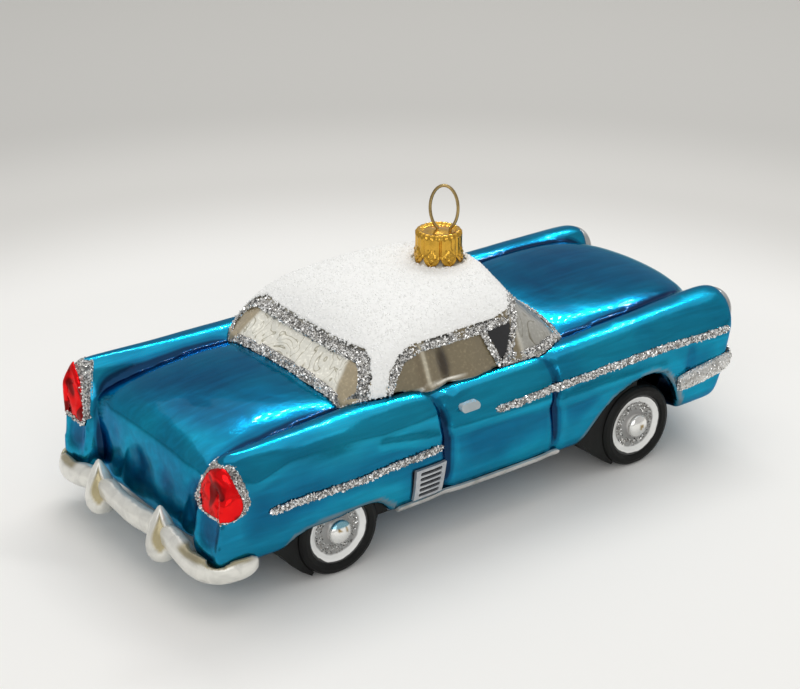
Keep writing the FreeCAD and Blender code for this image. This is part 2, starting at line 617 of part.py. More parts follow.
def make_wheels(outer, side, name):
    """Tyres with the glass that joins them to their arches, and the wheel discs."""
    pieces = {}
    ground = 2 * HALF_LENGTH
    floor = Part.makeBox(ground, ground, WHEEL_RADIUS, Vector(-HALF_LENGTH, -HALF_LENGTH, -WHEEL_RADIUS))
    ends = (("front_", FRONT_AXLE_X, FRONT_WEB_SHARES), ("rear_", REAR_AXLE_X, REAR_WEB_SHARES))
    for place, axle, webs in ends:
        hub = Vector(axle, side * (BODY_HALF_WIDTH - ARCH_DEPTH), WHEEL_RADIUS - TYRE_FLAT)
        drum = Part.makeCylinder(WHEEL_RADIUS, WHEEL_WIDTH, hub, Y * side)
        tyre = revolved(TYRE_PROFILE_SHARES, WHEEL_RADIUS, WHEEL_WIDTH, hub, Y * side, Z)
        for shares in webs:
            web = closed_face(arch_points(axle, shares, side, hub.y * side))
            tyre = tyre.fuse(web.extrude(Y * (side * (WHEEL_WIDTH - WEB_INSET))).cut(drum))
        disc = revolved(DISC_PROFILE_SHARES, WHEEL_RADIUS, WHEEL_WIDTH, hub, Y * side, Z)
        pieces["tyre_" + place + name] = largest(tyre.cut([outer, floor]))
        pieces["wheel_disc_" + place + name] = largest(disc.cut([outer, floor]))
    return pieces


def make_ends(outer):
    """Bumpers with their guards, and the grille."""
    pieces = {}
    for side, name in SIDES:
        foot = Vector(GUARD_X, side * GUARD_Y, GUARD_FOOT_Z)
        guard = revolved(GUARD_PROFILE_SHARES, GUARD_RADIUS, GUARD_HEIGHT, foot, Z, X)
        pieces["rear_bumper_guard_" + name] = largest(guard.cut(outer))
    guards = list(pieces.values())
    bar = bar_solid(REAR_BAR_SHARES, REAR_BAR_DEPTH, REAR_BAR_HEIGHT)
    pieces["rear_bumper"] = largest(bar.cut([outer] + guards))
    front_bar = bar_solid(FRONT_BAR_SHARES, FRONT_BAR_DEPTH, FRONT_BAR_HEIGHT)
    pieces["front_bumper"] = largest(front_bar.cut(outer))
    left = Vector(HALF_LENGTH / 2, GRILLE_HALF_WIDTH - GRILLE_HALF_HEIGHT, GRILLE_Z)
    right = Vector(left.x, -left.y, left.z)
    run = X * HALF_LENGTH
    mouth = stadium_face(left, right, 2 * GRILLE_HALF_HEIGHT, X).extrude(run)
    gaps = stadium_face(left, right, 2 * (GRILLE_HALF_HEIGHT - GRILLE_FRAME), X).extrude(run)
    bars = []
    for k in range(GRILLE_BARS):
        z = GRILLE_Z + (k - (GRILLE_BARS - 1) / 2) * 2 * GRILLE_BAR
        corner = Vector(0, -GRILLE_HALF_WIDTH, z - GRILLE_BAR / 2)
        bars.append(Part.makeBox(2 * HALF_LENGTH, 2 * GRILLE_HALF_WIDTH, GRILLE_BAR, corner))
    back = net_solid(offset_rows(hull_rows(), GRILLE_THICKNESS / 2))
    skin = net_solid(offset_rows(hull_rows(), GRILLE_THICKNESS))
    pieces["grille"] = laid_on(skin, mouth.cut(gaps.cut(bars + [back])), outer)
    return pieces


def make_cap():
    """The stamped cap: a skirt cut into petals, a rounded shoulder and a raised bridge."""
    foot = Vector(CAP_X, 0, ROOF_HEIGHT + CAP_GAP)
    outer = [(r * CAP_RADIUS, h * CAP_HEIGHT) for r, h in CAP_OUTER_SHARES]
    inner = [(max(r - CAP_WALL, 0), h - CAP_WALL * (h > CAP_HEIGHT / 2)) for r, h in outer]
    profile = outer + inner[::-1]
    cap = revolved(profile, 1, 1, foot, Z, X)
    cuts = []
    for k in range(PETAL_COUNT):
        out = aimed(PETAL_TURN + 360 * k / PETAL_COUNT)
        aside = Z.cross(out) * (PETAL_NOTCH_WIDTH / 2)
        base = foot + out * (CAP_RADIUS / 2) - Z * PETAL_NOTCH_WIDTH
        tip = base + Z * (PETAL_NOTCH_WIDTH + PETAL_NOTCH_HEIGHT)
        cuts.append(closed_face([base + aside, tip, base - aside]).extrude(out * CAP_RADIUS))
    for sign in (1, -1):
        hole = foot + aimed(LOOP_TURN) * (sign * LEG_OFFSET)
        cuts.append(Part.makeCylinder(WIRE_RADIUS + WIRE_GAP, 2 * CAP_HEIGHT, hole))
    return largest(cap.cut(cuts))


def make_hanger():
    """The wire: two straight legs down through the cap and one oval loop over it."""
    across = aimed(LOOP_TURN)
    foot = Vector(CAP_X, 0, ROOF_HEIGHT + CAP_GAP + CAP_HEIGHT)

    def at(share_across, share_up):
        lean = LOOP_LEAN * min(1, share_up / LOOP_SHARES[1][1])
        return foot + across * (share_across * LOOP_HALF_WIDTH + lean) + Z * (share_up * LOOP_HEIGHT)

    legs = [foot + across * (sign * LEG_OFFSET) for sign in (1, -1)]
    up = [at(a, b) for a, b in LOOP_SHARES]
    down = [at(-a, b) for a, b in LOOP_SHARES[::-1]]
    points = [legs[0]] + up + [at(0, 1)] + down + [legs[1]]
    loop = Part.BSplineCurve()
    loop.interpolate(Points=points, InitialTangent=Z, FinalTangent=Z * -1)
    low = Z * LEG_LENGTH
    spine = Part.Wire([
        Part.makeLine(legs[0] - low, legs[0]), loop.toShape(), Part.makeLine(legs[1], legs[1] - low),
    ])
    section = Part.Wire(Part.makeCircle(WIRE_RADIUS, legs[0] - low, Z))
    return spine.makePipeShell([section], True, False)


def main():
    body, cabin, outer, cabin_outer, rows = make_glass()
    pieces = {"lower_body": body, "cabin": cabin, "cap": make_cap(), "hanger_wire": make_hanger()}
    pieces.update(make_cabin_trims(outer, cabin_outer, rows))
    pieces.update(make_ends(outer))
    for side, name in SIDES:
        fender = rows[0] if side > 0 else rows[-1]
        bead = net_solid(offset_rows(fender, BEAD_THICKNESS))
        pieces.update(make_side_trims(bead, outer, fender, side, name))
        pieces.update(make_lamps(bead, outer, fender, side, name))
        pieces.update(make_wheels(outer, side, name))
    os.makedirs("parts", exist_ok=True)
    for node, shape in sorted(pieces.items()):
        shape.exportStep("parts/" + node + ".step")


if __name__ == "__main__":
    main()
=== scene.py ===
"""A hanging glass ornament in the shape of a 1950s hardtop car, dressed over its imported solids.

Blown glass, silvered inside and lacquered teal, with a rough white roof coat, silver glitter,
a stamped gold cap and a wire hanger. Metres, +X the way the car faces, +Z up.
"""
import bpy
import bmesh
import math
import random
import numpy as np
from mathutils import Matrix, Vector, noise
from mathutils.bvhtree import BVHTree


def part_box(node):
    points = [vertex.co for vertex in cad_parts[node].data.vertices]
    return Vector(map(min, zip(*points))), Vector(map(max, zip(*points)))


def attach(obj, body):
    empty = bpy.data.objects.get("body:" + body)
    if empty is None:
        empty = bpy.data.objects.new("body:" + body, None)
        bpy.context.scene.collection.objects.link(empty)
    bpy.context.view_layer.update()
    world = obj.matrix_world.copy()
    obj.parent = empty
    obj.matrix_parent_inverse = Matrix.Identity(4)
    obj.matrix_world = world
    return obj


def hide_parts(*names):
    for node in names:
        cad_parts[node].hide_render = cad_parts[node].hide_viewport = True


bl_info = {
    "name": "Glass Car Ornament",
    "version": (1, 0, 0),
    "blender": (4, 5, 0),
    "location": "3D View > Sidebar > Ornament",
    "description": "Builds the glass car ornament with its lacquer, coat, glitter, cap and hanger",
    "category": "Object",
}

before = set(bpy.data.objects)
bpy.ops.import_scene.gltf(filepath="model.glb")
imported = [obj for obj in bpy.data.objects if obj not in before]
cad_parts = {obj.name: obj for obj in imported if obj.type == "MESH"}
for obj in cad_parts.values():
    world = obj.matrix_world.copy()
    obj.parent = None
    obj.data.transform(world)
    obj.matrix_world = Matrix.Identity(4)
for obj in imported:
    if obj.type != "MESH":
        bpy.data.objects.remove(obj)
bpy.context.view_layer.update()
MM = 0.001
SIDES = {"left": 1, "right": -1}
COLOUR = {"subtype": "COLOR", "size": 3, "min": 0, "max": 1}

# Moulded wheels, and their arches seen from the side, from the axle in wheel radii. The radius is in millimetres.
AXLES = {"front": 0.037, "rear": -0.039}
AXLE_HEIGHT = 0.009
WHEEL_RADIUS = 9.1
HUB_SIZE = (0.0025, 0.0012, 0.0025)
HUB_SINK = 0.0002
FRONT_ARCH = (
    (-2.10, 0.20), (-1.95, 1.06), (-1.42, 1.60), (-0.92, 2.00), (-0.40, 2.22), (0.22, 2.36), (0.72, 2.20),
    (1.12, 1.74), (1.32, 1.12), (1.36, 0.20),
)
REAR_ARCH = (
    (-1.70, 0.20), (-1.62, 0.92), (-1.20, 1.33), (-0.55, 1.46), (0.30, 1.50), (0.92, 1.50), (1.33, 1.22),
    (1.50, 0.74), (1.46, 0.20),
)

# Glass body and cabin
RELIEF_ROUNDS = 40
RELIEF_GAIN = 1.6
# Painted reflection: how far the trunk's face is lightened
TRUNK_PAINTED_REFLECTION = 0.22
TRUNK_RIPPLE = 0.00045
HANDLE_RINGS = ((-13.2, 28.7), (-10.0, 28.3))
RING_HEIGHT = 0.00028
PANE_WRINKLE = 0.00012
PANE_BULGE = 0.00030
POST_DEPTH = 0.0005
CABIN_FOOT = 0.0009
BODY_PAINTS = (
    ("arch_paint", (0.006, 0.007, 0.007)), ("rim_paint", (0.26, 0.30, 0.32)), ("vent_paint", (0.004, 0.004, 0.012)),
    ("end_paint", (0.05, 0.07, 0.085)),
)
VENT_WINDOW = ((1.6, 37.9), (8.2, 37.4), (6.0, 31.4), (3.6, 31.0))
WINDSCREEN_GREY = Vector((0.36, 0.35, 0.31))
PANE_BROWN = Vector((0.215, 0.175, 0.105))

# Cell sizes of the finer meshes, and how many grains are cut at a time, which keeps the cutting quick
CABIN_STEP = 0.00045
COAT_STEP = 0.00042
BAND_STEP = 0.00030
BAR_STEP = 0.00045
GRAIN_BATCH = 150

# Glitter: how far the bands are slimmed, how near the glass is still glass, and how far flakes stray
WINDOW_BAND_SLIM = 0.00048
TRIM_SLIM = 0.00034
ON_GLASS = 0.00018
FLAKE_STRAY = 0.00008

# Lamps, and the bumper guards as a profile of radius and height, in millimetres
LAMP_EDGE_SCALE = {"left": (1, 0.92, 0.94), "right": (1, 1, 0.84)}
HEAD_LENS_SIZE = (0.0028, 0.0044, 0.0045)
HEAD_LENS_PLACE = (0.0643, 0.0226, 0.0268)
GUARD_PLACE = (-67.6, 11.7, 4.7)
GUARD_PROFILE = (
    (0, 0), (1.6, 0.3), (2.6, 1.3), (3.05, 2.8), (3.1, 4.5), (2.85, 6.2), (2.35, 7.7), (1.7, 9.2), (0.9, 10.6),
    (0.25, 11.5), (0, 11.6),
)

# Cap, as a profile of radius and height in millimetres, and the wire through it
CAP_TOP = (
    (4.82, 5.60), (4.74, 5.90), (4.55, 6.25), (4.25, 6.52), (3.90, 6.62), (3.60, 6.50), (3.40, 6.28), (3.00, 6.20),
    (2.30, 6.25), (1.50, 6.42), (0.80, 6.50), (0, 6.52),
)
CAP_WALL = 0.35
CAP_TURN = 11.8
WIRE_RADIUS = 0.00033
WIRE_TOP = 0.00035
LOOP_PLACE = 0.0067
LOOP_OFFSET = 0.00105
LOOP_HALF_WIDTH = 0.00285
LOOP_LEG = 0.0013
LOOP_NECK = 0.0512

# Stage
CAMERA_PLACE = (-0.23524, -0.31275, 0.20185)
CAMERA_LOOK = (0.5441, 0.7331, -0.4080)
CAMERA_LENS = 93.47
LAMP_AIM = (0, 0, 0.02)
STRIP_LAMPS = 12
STRIP_LENGTH = 0.46
STRIP_GAP = 0.05
STRIP_MIDDLE = (0.345, 0.289, 0.536)
STRIP_ALONG = (-0.643, 0.766, 0)
STRIP_POWER = 1.15
OVERHEAD_POWER = 2.4
CAMERA_SIDE_POWER = 2.5
WORLD_STRENGTH = 0.67


class OrnamentSettings(bpy.types.PropertyGroup):
    """Sizes and colours of the ornament's finishes."""

    lacquer: bpy.props.FloatVectorProperty(
        name="Lacquer", description="Teal lacquer over the silvered glass",
        default=(0.001, 0.148, 0.285), **COLOUR)
    # Painted shade: the lacquer's colour in grooves, where it pools and where shade falls
    lacquer_pooled_and_shaded: bpy.props.FloatVectorProperty(
        name="Lacquer in grooves", description="Lacquer where it pools",
        default=(0.001, 0.030, 0.085), **COLOUR)
    # Painted highlight: the lacquer's colour on ridges, where it runs thin and where light catches
    lacquer_thin_and_highlit: bpy.props.FloatVectorProperty(
        name="Lacquer on ridges", description="Lacquer where it runs thin",
        default=(0.006, 0.270, 0.440), **COLOUR)
    coat: bpy.props.FloatVectorProperty(
        name="Roof coat", description="White granular coat",
        default=(0.93, 0.93, 0.91), **COLOUR)
    silver: bpy.props.FloatVectorProperty(
        name="Silvered glass", description="Windows, where the silvering shows",
        default=(0.96, 0.93, 0.82), **COLOUR)
    gold: bpy.props.FloatVectorProperty(
        name="Cap", description="Stamped gold sheet of the cap",
        default=(0.74, 0.42, 0.06), **COLOUR)
    lamp_red: bpy.props.FloatVectorProperty(
        name="Tail lamps", description="Red lacquer of the tail lamps",
        default=(0.85, 0.004, 0.007), **COLOUR)
    skin_step: bpy.props.FloatProperty(
        name="Glass mesh step", description="Cell size of the moulded glass mesh", default=0.0007, min=0.0004,
        max=0.002, unit="LENGTH")
    groove_width: bpy.props.FloatProperty(
        name="Door groove width", description="Width of the moulded door lines", default=0.0020, min=0, max=0.004,
        unit="LENGTH")
    groove_depth: bpy.props.FloatProperty(
        name="Door groove depth", description="Depth of the moulded door lines", default=0.00055, min=0, max=0.001,
        unit="LENGTH")
    waver: bpy.props.FloatProperty(
        name="Glass waver", description="How far hand-blown glass strays from a true form", default=0.00012, min=0,
        max=0.0005, unit="LENGTH")
    glitter_size: bpy.props.FloatProperty(
        name="Glitter size", description="Width of a glitter flake", default=0.00035, min=0.0002, max=0.001,
        unit="LENGTH")
    glitter_cover: bpy.props.FloatProperty(
        name="Glitter cover", description="Flakes on each square millimetre", default=9.5, min=0, max=15)
    coat_grain: bpy.props.FloatProperty(
        name="Coat grain size", description="Width of a grain of the roof coat", default=0.00030, min=0.0002,
        max=0.001, unit="LENGTH")
    coat_cover: bpy.props.FloatProperty(
        name="Coat cover", description="Loose grains on each square millimetre", default=3.2, min=0, max=8)
    petals: bpy.props.IntProperty(
        name="Cap petals", description="Petals round the cap's skirt", default=8, min=4, max=16)


# Meshes

def merged(*nodes):
    """A bmesh of CAD nodes with their loose triangles joined."""
    bm = bmesh.new()
    for name in nodes:
        bm.from_mesh(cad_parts[name].data)
    bmesh.ops.remove_doubles(bm, verts=bm.verts, dist=2e-6)
    return bm


def remeshed(bm, step):
    """The same closed form in even quads."""
    mesh = bpy.data.meshes.new("form")
    bm.to_mesh(mesh)
    bm.free()
    form = bpy.data.objects.new("form", mesh)
    bpy.context.scene.collection.objects.link(form)
    modifier = form.modifiers.new("cells", "REMESH")
    modifier.mode = "VOXEL"
    modifier.voxel_size = step
    made = bpy.data.meshes.new_from_object(form.evaluated_get(bpy.context.evaluated_depsgraph_get()))
    out = bmesh.new()
    out.from_mesh(made)
    bpy.data.objects.remove(form)
    bpy.data.meshes.remove(mesh)
    bpy.data.meshes.remove(made)
    return out


def smoothed(bm, times):
    for _ in range(times):
        bmesh.ops.smooth_vert(bm, verts=bm.verts, factor=0.5, use_axis_x=True, use_axis_y=True, use_axis_z=True)
    bm.normal_update()
    return bm


def ease(share):
    share = max(0.0, min(1.0, share))
    return share * share * (3 - 2 * share)


def settled(bm):
    """Draws the fender ends back to where the blown glass stops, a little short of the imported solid."""
    for v in bm.verts:
        fender = ease((abs(v.co.y) / MM - 13) / 5)
        front = 1.5 * ease((v.co.x / MM - 55) / 11)
        rear = 0.65 * ease((-v.co.x / MM - 58) / 8)
        v.co.x -= (front - rear) * fender * MM
    bm.normal_update()
    return bm


def pushed(bm, distance):
    """Moves each point along its normal by distance(point, normal)."""
    bm.normal_update()
    moves = [v.normal * distance(v.co, v.normal) for v in bm.verts]
    for v, move in zip(bm.verts, moves):
        v.co += move
    bm.normal_update()
    return bm


def scaled_about(bm, middle, factors):
    """Scales a form about a point."""
    shift = Matrix.Translation(middle)
    bmesh.ops.transform(bm, matrix=shift @ Matrix.Diagonal((*factors, 1)) @ shift.inverted(), verts=bm.verts)


def box_middle(name):
    low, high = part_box(name)
    return (low + high) / 2


def piece(name, bm, material, body="ornament", nodes=(), smooth=True):
    """A finished object from a bmesh, on its body and in the place of the CAD nodes that it stands for."""
    mesh = bpy.data.meshes.new(name)
    bm.to_mesh(mesh)
    bm.free()
    mesh.polygons.foreach_set("use_smooth", [smooth] * len(mesh.polygons))
    mesh.materials.append(material)
    made = bpy.data.objects.new(name, mesh)
    bpy.context.scene.collection.objects.link(made)
    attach(made, body)
    if nodes:
        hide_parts(*nodes)
    return made


def dress(material, *nodes):
    """Gives CAD nodes that stay their finish."""
    for name in nodes:
        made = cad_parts[name]
        made.data.materials.clear()
        made.data.materials.append(material)


def point_values(mesh, name, values):
    layer = mesh.attributes.new(name, "FLOAT", "POINT")
    layer.data.foreach_set("value", np.asarray(values, dtype=np.float32))


def relief_of(mesh):
    """How far each point stands out from its wide surroundings, above 0 on ridges and below 0 in grooves."""
    count = len(mesh.vertices)
    co = np.empty(count * 3, np.float32)
    mesh.vertices.foreach_get("co", co)
    co = co.reshape(-1, 3)
    normal = np.empty(count * 3, np.float32)
    mesh.vertices.foreach_get("normal", normal)
    edges = np.empty(len(mesh.edges) * 2, np.int32)
    mesh.edges.foreach_get("vertices", edges)
    edges = edges.reshape(-1, 2)
    degree = np.bincount(edges.ravel(), minlength=count)[:, None]
    flat = co.astype(np.float64)
    for _ in range(RELIEF_ROUNDS):
        total = np.zeros_like(flat)
        np.add.at(total, edges[:, 0], flat[edges[:, 1]])
        np.add.at(total, edges[:, 1], flat[edges[:, 0]])
        flat = total / np.maximum(degree, 1)
    return ((co - flat) * normal.reshape(-1, 3)).sum(axis=1)


def inside(point, outline):
    """Whether a flat point lies inside an outline."""
    x, z = point
    hit = False
    for (ax, az), (bx, bz) in zip(outline, outline[1:] + outline[:1]):
        if (az > z) != (bz > z) and x < (bx - ax) * (z - az) / (bz - az) + ax:
            hit = not hit
    return hit


def line_distance(x, z, line):
    """Distance in the side view from a point to a line of points, all in millimetres."""
    best = 1e9
    for (ax, az), (bx, bz) in zip(line, line[1:]):
        dx, dz = bx - ax, bz - az
        t = max(0, min(1, ((x - ax) * dx + (z - az) * dz) / (dx * dx + dz * dz)))
        best = min(best, math.hypot(x - ax - t * dx, z - az - t * dz))
    return best


def surface_points(bm, cover, seed, keep):
    """Even random points with normals on a form, so many on each square millimetre. The form is used up."""
    generator = np.random.RandomState(seed)
    bmesh.ops.triangulate(bm, faces=bm.faces)
    corners = np.array([[v.co[:] for v in f.verts] for f in bm.faces])
    bm.free()
    cross = np.cross(corners[:, 1] - corners[:, 0], corners[:, 2] - corners[:, 0])
    area = np.linalg.norm(cross, axis=1) / 2
    count = int(area.sum() / MM ** 2 * cover)
    chosen = generator.choice(len(area), count, p=area / area.sum())
    a, b = generator.rand(2, count, 1)
    flip = (a + b) > 1
    a, b = np.where(flip, 1 - a, a), np.where(flip, 1 - b, b)
    t = corners[chosen]
    spots = t[:, 0] + a * (t[:, 1] - t[:, 0]) + b * (t[:, 2] - t[:, 0])
    normals = cross[chosen] / (2 * area[chosen, None] + 1e-20)
    found = [(Vector(spot), Vector(normal)) for spot, normal in zip(spots, normals)]
    return [(spot, normal) for spot, normal in found if keep(spot, normal)]


def tree_of(*nodes):
    """Search tree of the glass as it is drawn, for distances from it."""
    bm = settled(merged(*nodes))
    tree = BVHTree.FromBMesh(bm)
    bm.free()
    return tree


def turned(profile, place, steps):
    """A closed round form: a profile of radius and height in millimetres, spun round an upright line."""
    bm = bmesh.new()
    verts = [bm.verts.new((r * MM, 0, h * MM)) for r, h in profile]
    edges = [bm.edges.new(pair) for pair in zip(verts, verts[1:])]
    bmesh.ops.spin(bm, geom=verts + edges, cent=(0, 0, 0), axis=(0, 0, 1), angle=2 * math.pi, steps=steps,
                   use_merge=True)
    bmesh.ops.remove_doubles(bm, verts=bm.verts, dist=1e-6)
    bmesh.ops.translate(bm, vec=place, verts=bm.verts)
    bmesh.ops.recalc_face_normals(bm, faces=bm.faces)
    return bm


def ball(size, place, around, up):
    """A closed egg shape with its three half sizes."""
    bm = bmesh.new()
    bmesh.ops.create_uvsphere(bm, u_segments=around, v_segments=up, radius=1)
    bmesh.ops.scale(bm, vec=size, verts=bm.verts)
    bmesh.ops.translate(bm, vec=place, verts=bm.verts)
    return bm


def point_colours(mesh, name, colours):
    layer = mesh.attributes.new(name, "FLOAT_COLOR", "POINT")
    flat = np.ones((len(colours), 4), np.float32)
    flat[:, :3] = colours
    layer.data.foreach_set("color", flat.ravel())


def grains(spots, size, seed, shape=(1.0, 0.8, 0.55), sink=0.1):
    """Many small cut blocks, each turned its own way. Returns a bmesh with a tone for each grain."""
    chance = random.Random(seed)
    out = bmesh.new()
    out.faces.layers.float.new("tone")
    for start in range(0, len(spots), GRAIN_BATCH):
        part = bmesh.new()
        tones = part.faces.layers.float.new("tone")
        for spot, normal in spots[start:start + GRAIN_BATCH]:
            scale = size * chance.uniform(0.65, 1.3)
            turn = normal.to_track_quat("Z", "Y").to_matrix().to_4x4()
            wild = Matrix.Rotation(chance.uniform(0, 2 * math.pi), 4, "Z")
            for axis in "XY":
                wild = wild @ Matrix.Rotation(chance.gauss(0, 0.7), 4, axis)
            stretch = Matrix.Diagonal([s * scale * chance.uniform(0.8, 1.2) for s in shape] + [1])
            place = Matrix.Translation(spot - normal * sink * scale)
            made = bmesh.ops.create_cube(part, size=1, matrix=place @ turn @ wild @ stretch)
            tone = chance.random()
            for vert in made["verts"]:
                for face in vert.link_faces:
                    face[tones] = tone
        mesh = bpy.data.meshes.new("batch")
        part.to_mesh(mesh)
        part.free()
        out.from_mesh(mesh)
        bpy.data.meshes.remove(mesh)
    return out


# Materials

def finish(name, **sockets):
    """A new material with its node tree and its shader, whose sockets are set to the values given."""
    material = bpy.data.materials.new(name)
    material.use_nodes = True
    shader = material.node_tree.nodes["Principled BSDF"]
    for key, value in sockets.items():
        shader.inputs[key.replace("_", " ")].default_value = value
    return material, material.node_tree, shader


def node(tree, kind, inputs=None, **props):
    made = tree.nodes.new(kind)
    for key, value in props.items():
        setattr(made, key, value)
    for key, value in (inputs or {}).items():
        made.inputs[key].default_value = value
    return made


def shade(tree, value, stops, interpolation="LINEAR"):
    """A colour read off a ramp of stops by a value."""
    made = node(tree, "ShaderNodeValToRGB")
    made.color_ramp.interpolation = interpolation
    elements = made.color_ramp.elements
    while len(elements) < len(stops):
        elements.new(0.5)
    for element, (place, colour) in zip(elements, stops):
        element.position = place
        element.color = tuple(colour) + (1,)
    tree.links.new(value, made.inputs["Fac"])
    return made.outputs["Color"]


def grey(value):
    return (value, value, value)


def dimmed(colour, share):
    return [c * share for c in colour]


def attribute(tree, name, output="Fac"):
    """A value or colour that the mesh carries at its points or faces."""
    return node(tree, "ShaderNodeAttribute", attribute_name=name).outputs[output]


def object_noise(tree, scale, detail=3, distortion=0.0, stretch=(1, 1, 1)):
    place = node(tree, "ShaderNodeTexCoord")
    mapping = node(tree, "ShaderNodeMapping", {"Scale": stretch})
    made = node(tree, "ShaderNodeTexNoise", {"Scale": scale, "Detail": detail, "Distortion": distortion})
    tree.links.new(place.outputs["Object"], mapping.inputs["Vector"])
    tree.links.new(mapping.outputs["Vector"], made.inputs["Vector"])
    return made.outputs["Fac"]


def distance_from(tree, shift, scale=(1, 1, 1)):
    """How far a point lies from the place that the shift brings to the origin."""
    place = node(tree, "ShaderNodeTexCoord")
    mapping = node(tree, "ShaderNodeMapping", {"Location": shift, "Scale": scale})
    reach = node(tree, "ShaderNodeVectorMath", operation="LENGTH")
    tree.links.new(place.outputs["Object"], mapping.inputs["Vector"])
    tree.links.new(mapping.outputs["Vector"], reach.inputs[0])
    return reach.outputs["Value"]


def feed(tree, socket, value):
    """Sets a socket to a number or a colour, or links it to another socket."""
    if isinstance(value, bpy.types.NodeSocket):
        tree.links.new(value, socket)
    else:
        socket.default_value = value if isinstance(value, (int, float)) else tuple(value) + (1,)


def sums(tree, operation, *terms):
    made = node(tree, "ShaderNodeMath", operation=operation)
    for socket, term in zip(made.inputs, terms):
        feed(tree, socket, term)
    return made.outputs[0]


def bump(tree, shader, height, strength, distance):
    made = node(tree, "ShaderNodeBump", {"Strength": strength, "Distance": distance})
    tree.links.new(height, made.inputs["Height"])
    tree.links.new(made.outputs["Normal"], shader.inputs["Normal"])


def mix_colour(tree, factor, a, b, blend="MIX"):
    made = node(tree, "ShaderNodeMix", data_type="RGBA", blend_type=blend)
    for place, value in ((0, factor), (6, a), (7, b)):
        feed(tree, made.inputs[place], value)
    return made.outputs[2]


def lacquer_finish(settings):
    """Teal lacquer, with painted shade where it pools in grooves and painted highlights where it runs thin on ridges,
    and with the paint of the arches, vents and fender ends.
    """
    material, tree, shader = finish(
        "teal_lacquer", Metallic=1.0, Roughness=0.19, Coat_Weight=0.20, Coat_Roughness=0.03, Coat_IOR=1.5,
        Specular_Tint=(0.05, 0.50, 0.72, 1))
    # Painted shade and highlight: the relief darkens the lacquer in grooves and lightens it on ridges, besides its
    # pooling and thinning
    tinted = shade(tree, attribute(tree, "relief"), (
        (0.12, settings.lacquer_pooled_and_shaded), (0.42, settings.lacquer), (0.58, settings.lacquer),
        (0.92, settings.lacquer_thin_and_highlit)))
    drift = object_noise(tree, 55, 3, 0.6)
    thin = shade(tree, drift, ((0.35, (0.70, 0.80, 0.86)), (0.65, (1.15, 1.10, 1.06))))
    tinted = mix_colour(tree, 1.0, tinted, thin, "MULTIPLY")
    brushed = object_noise(tree, 620, 3, 0.5, (0.12, 1, 1))
    streaks = shade(tree, brushed, ((0.38, grey(0.90)), (0.52, grey(1.0)), (0.70, grey(1.15))))
    tinted = mix_colour(tree, 1.0, tinted, streaks, "MULTIPLY")
    for name, tone in BODY_PAINTS:
        tinted = mix_colour(tree, attribute(tree, name), tinted, tone)
    tree.links.new(tinted, shader.inputs["Base Color"])
    bump(tree, shader, object_noise(tree, 420, 2, 0.3), 0.10, 0.0004)
    return material


def window_finish():
    """Silvered glass in the colour of each pane, with fine dust and, where it is wrinkled, winding lines."""
    material, tree, shader = finish(
        "silvered_glass", Metallic=0.05, Roughness=0.22, Coat_Weight=0.4, Coat_Roughness=0.03)
    waves = sums(tree, "MULTIPLY", object_noise(tree, 110, 2, 1.3), 15.0)
    wrap = sums(tree, "PINGPONG", waves, 1.0)
    lines = shade(tree, wrap, ((0.00, (0.34, 0.32, 0.26)), (0.09, (0.74, 0.72, 0.66)), (0.22, grey(1.0))))
    veil = mix_colour(tree, attribute(tree, "wrinkled"), grey(1.0), lines)
    tinted = mix_colour(tree, 1.0, attribute(tree, "pane", "Color"), veil, "MULTIPLY")
    speck = object_noise(tree, 1700, 2)
    dust = shade(tree, speck, ((0.40, grey(0.95)), (0.58, grey(1.02)), (0.72, grey(1.30))))
    tree.links.new(mix_colour(tree, 1.0, tinted, dust, "MULTIPLY"), shader.inputs["Base Color"])
    bump(tree, shader, wrap, 0.12, 0.0005)
    return material


def glitter_finish(name, dark, share):
    """Flakes of many tones: that share of them goes from the dark tone to a middle grey, the rest shines."""
    material, tree, shader = finish(name, Metallic=0.65, Roughness=0.20)
    shades = shade(tree, attribute(tree, "tone"), (
        (0.0, grey(dark)), (share, (0.45, 0.43, 0.40)), (share + 0.15, (0.88, 0.87, 0.84)), (1.0, grey(0.98))))
    tree.links.new(shades, shader.inputs["Base Color"])
    return material


def glue_finish():
    """The bed of fine glitter and glue that the flakes stand in."""
    material, tree, shader = finish("glitter_bed", Metallic=0.8, Roughness=0.35)
    cells = node(tree, "ShaderNodeTexVoronoi", {"Scale": 3200})
    place = node(tree, "ShaderNodeTexCoord")
    tree.links.new(place.outputs["Object"], cells.inputs["Vector"])
    shades = shade(tree, cells.outputs["Color"], (
        (0.0, grey(0.05)), (0.35, grey(0.26)), (0.60, (0.62, 0.60, 0.56)), (1.0, grey(0.95))))
    tree.links.new(shades, shader.inputs["Base Color"])
    bump(tree, shader, cells.outputs["Distance"], 0.9, 0.0004)
    return material


def coat_finish(settings):
    material, tree, shader = finish("white_coat", Roughness=0.65, Specular_IOR_Level=0.25)
    fine = object_noise(tree, 1500, 4)
    shades = shade(tree, fine, ((0.30, dimmed(settings.coat, 0.94)), (0.60, settings.coat)))
    tree.links.new(shades, shader.inputs["Base Color"])
    bump(tree, shader, fine, 0.35, 0.0003)
    return material


def grain_finish(settings):
    material, tree, shader = finish("coat_grains", Roughness=0.45, Specular_IOR_Level=0.4)
    shades = shade(tree, attribute(tree, "tone"), (
        (0.0, dimmed(settings.coat, 0.93)), (0.4, settings.coat), (1.0, grey(0.96))))
    tree.links.new(shades, shader.inputs["Base Color"])
    return material


def pearl_finish(name, colour, dark, scale, metallic, roughness):
    """Pearl paint that drifts between two tones."""
    material, tree, shader = finish(
        name, Metallic=metallic, Roughness=roughness, Coat_Weight=0.5, Coat_Roughness=0.1)
    shades = shade(tree, object_noise(tree, scale, 3, 0.8), ((0.32, dark), (0.62, colour)))
    tree.links.new(shades, shader.inputs["Base Color"])
    bump(tree, shader, object_noise(tree, 800, 2), 0.25, 0.0004)
    return material


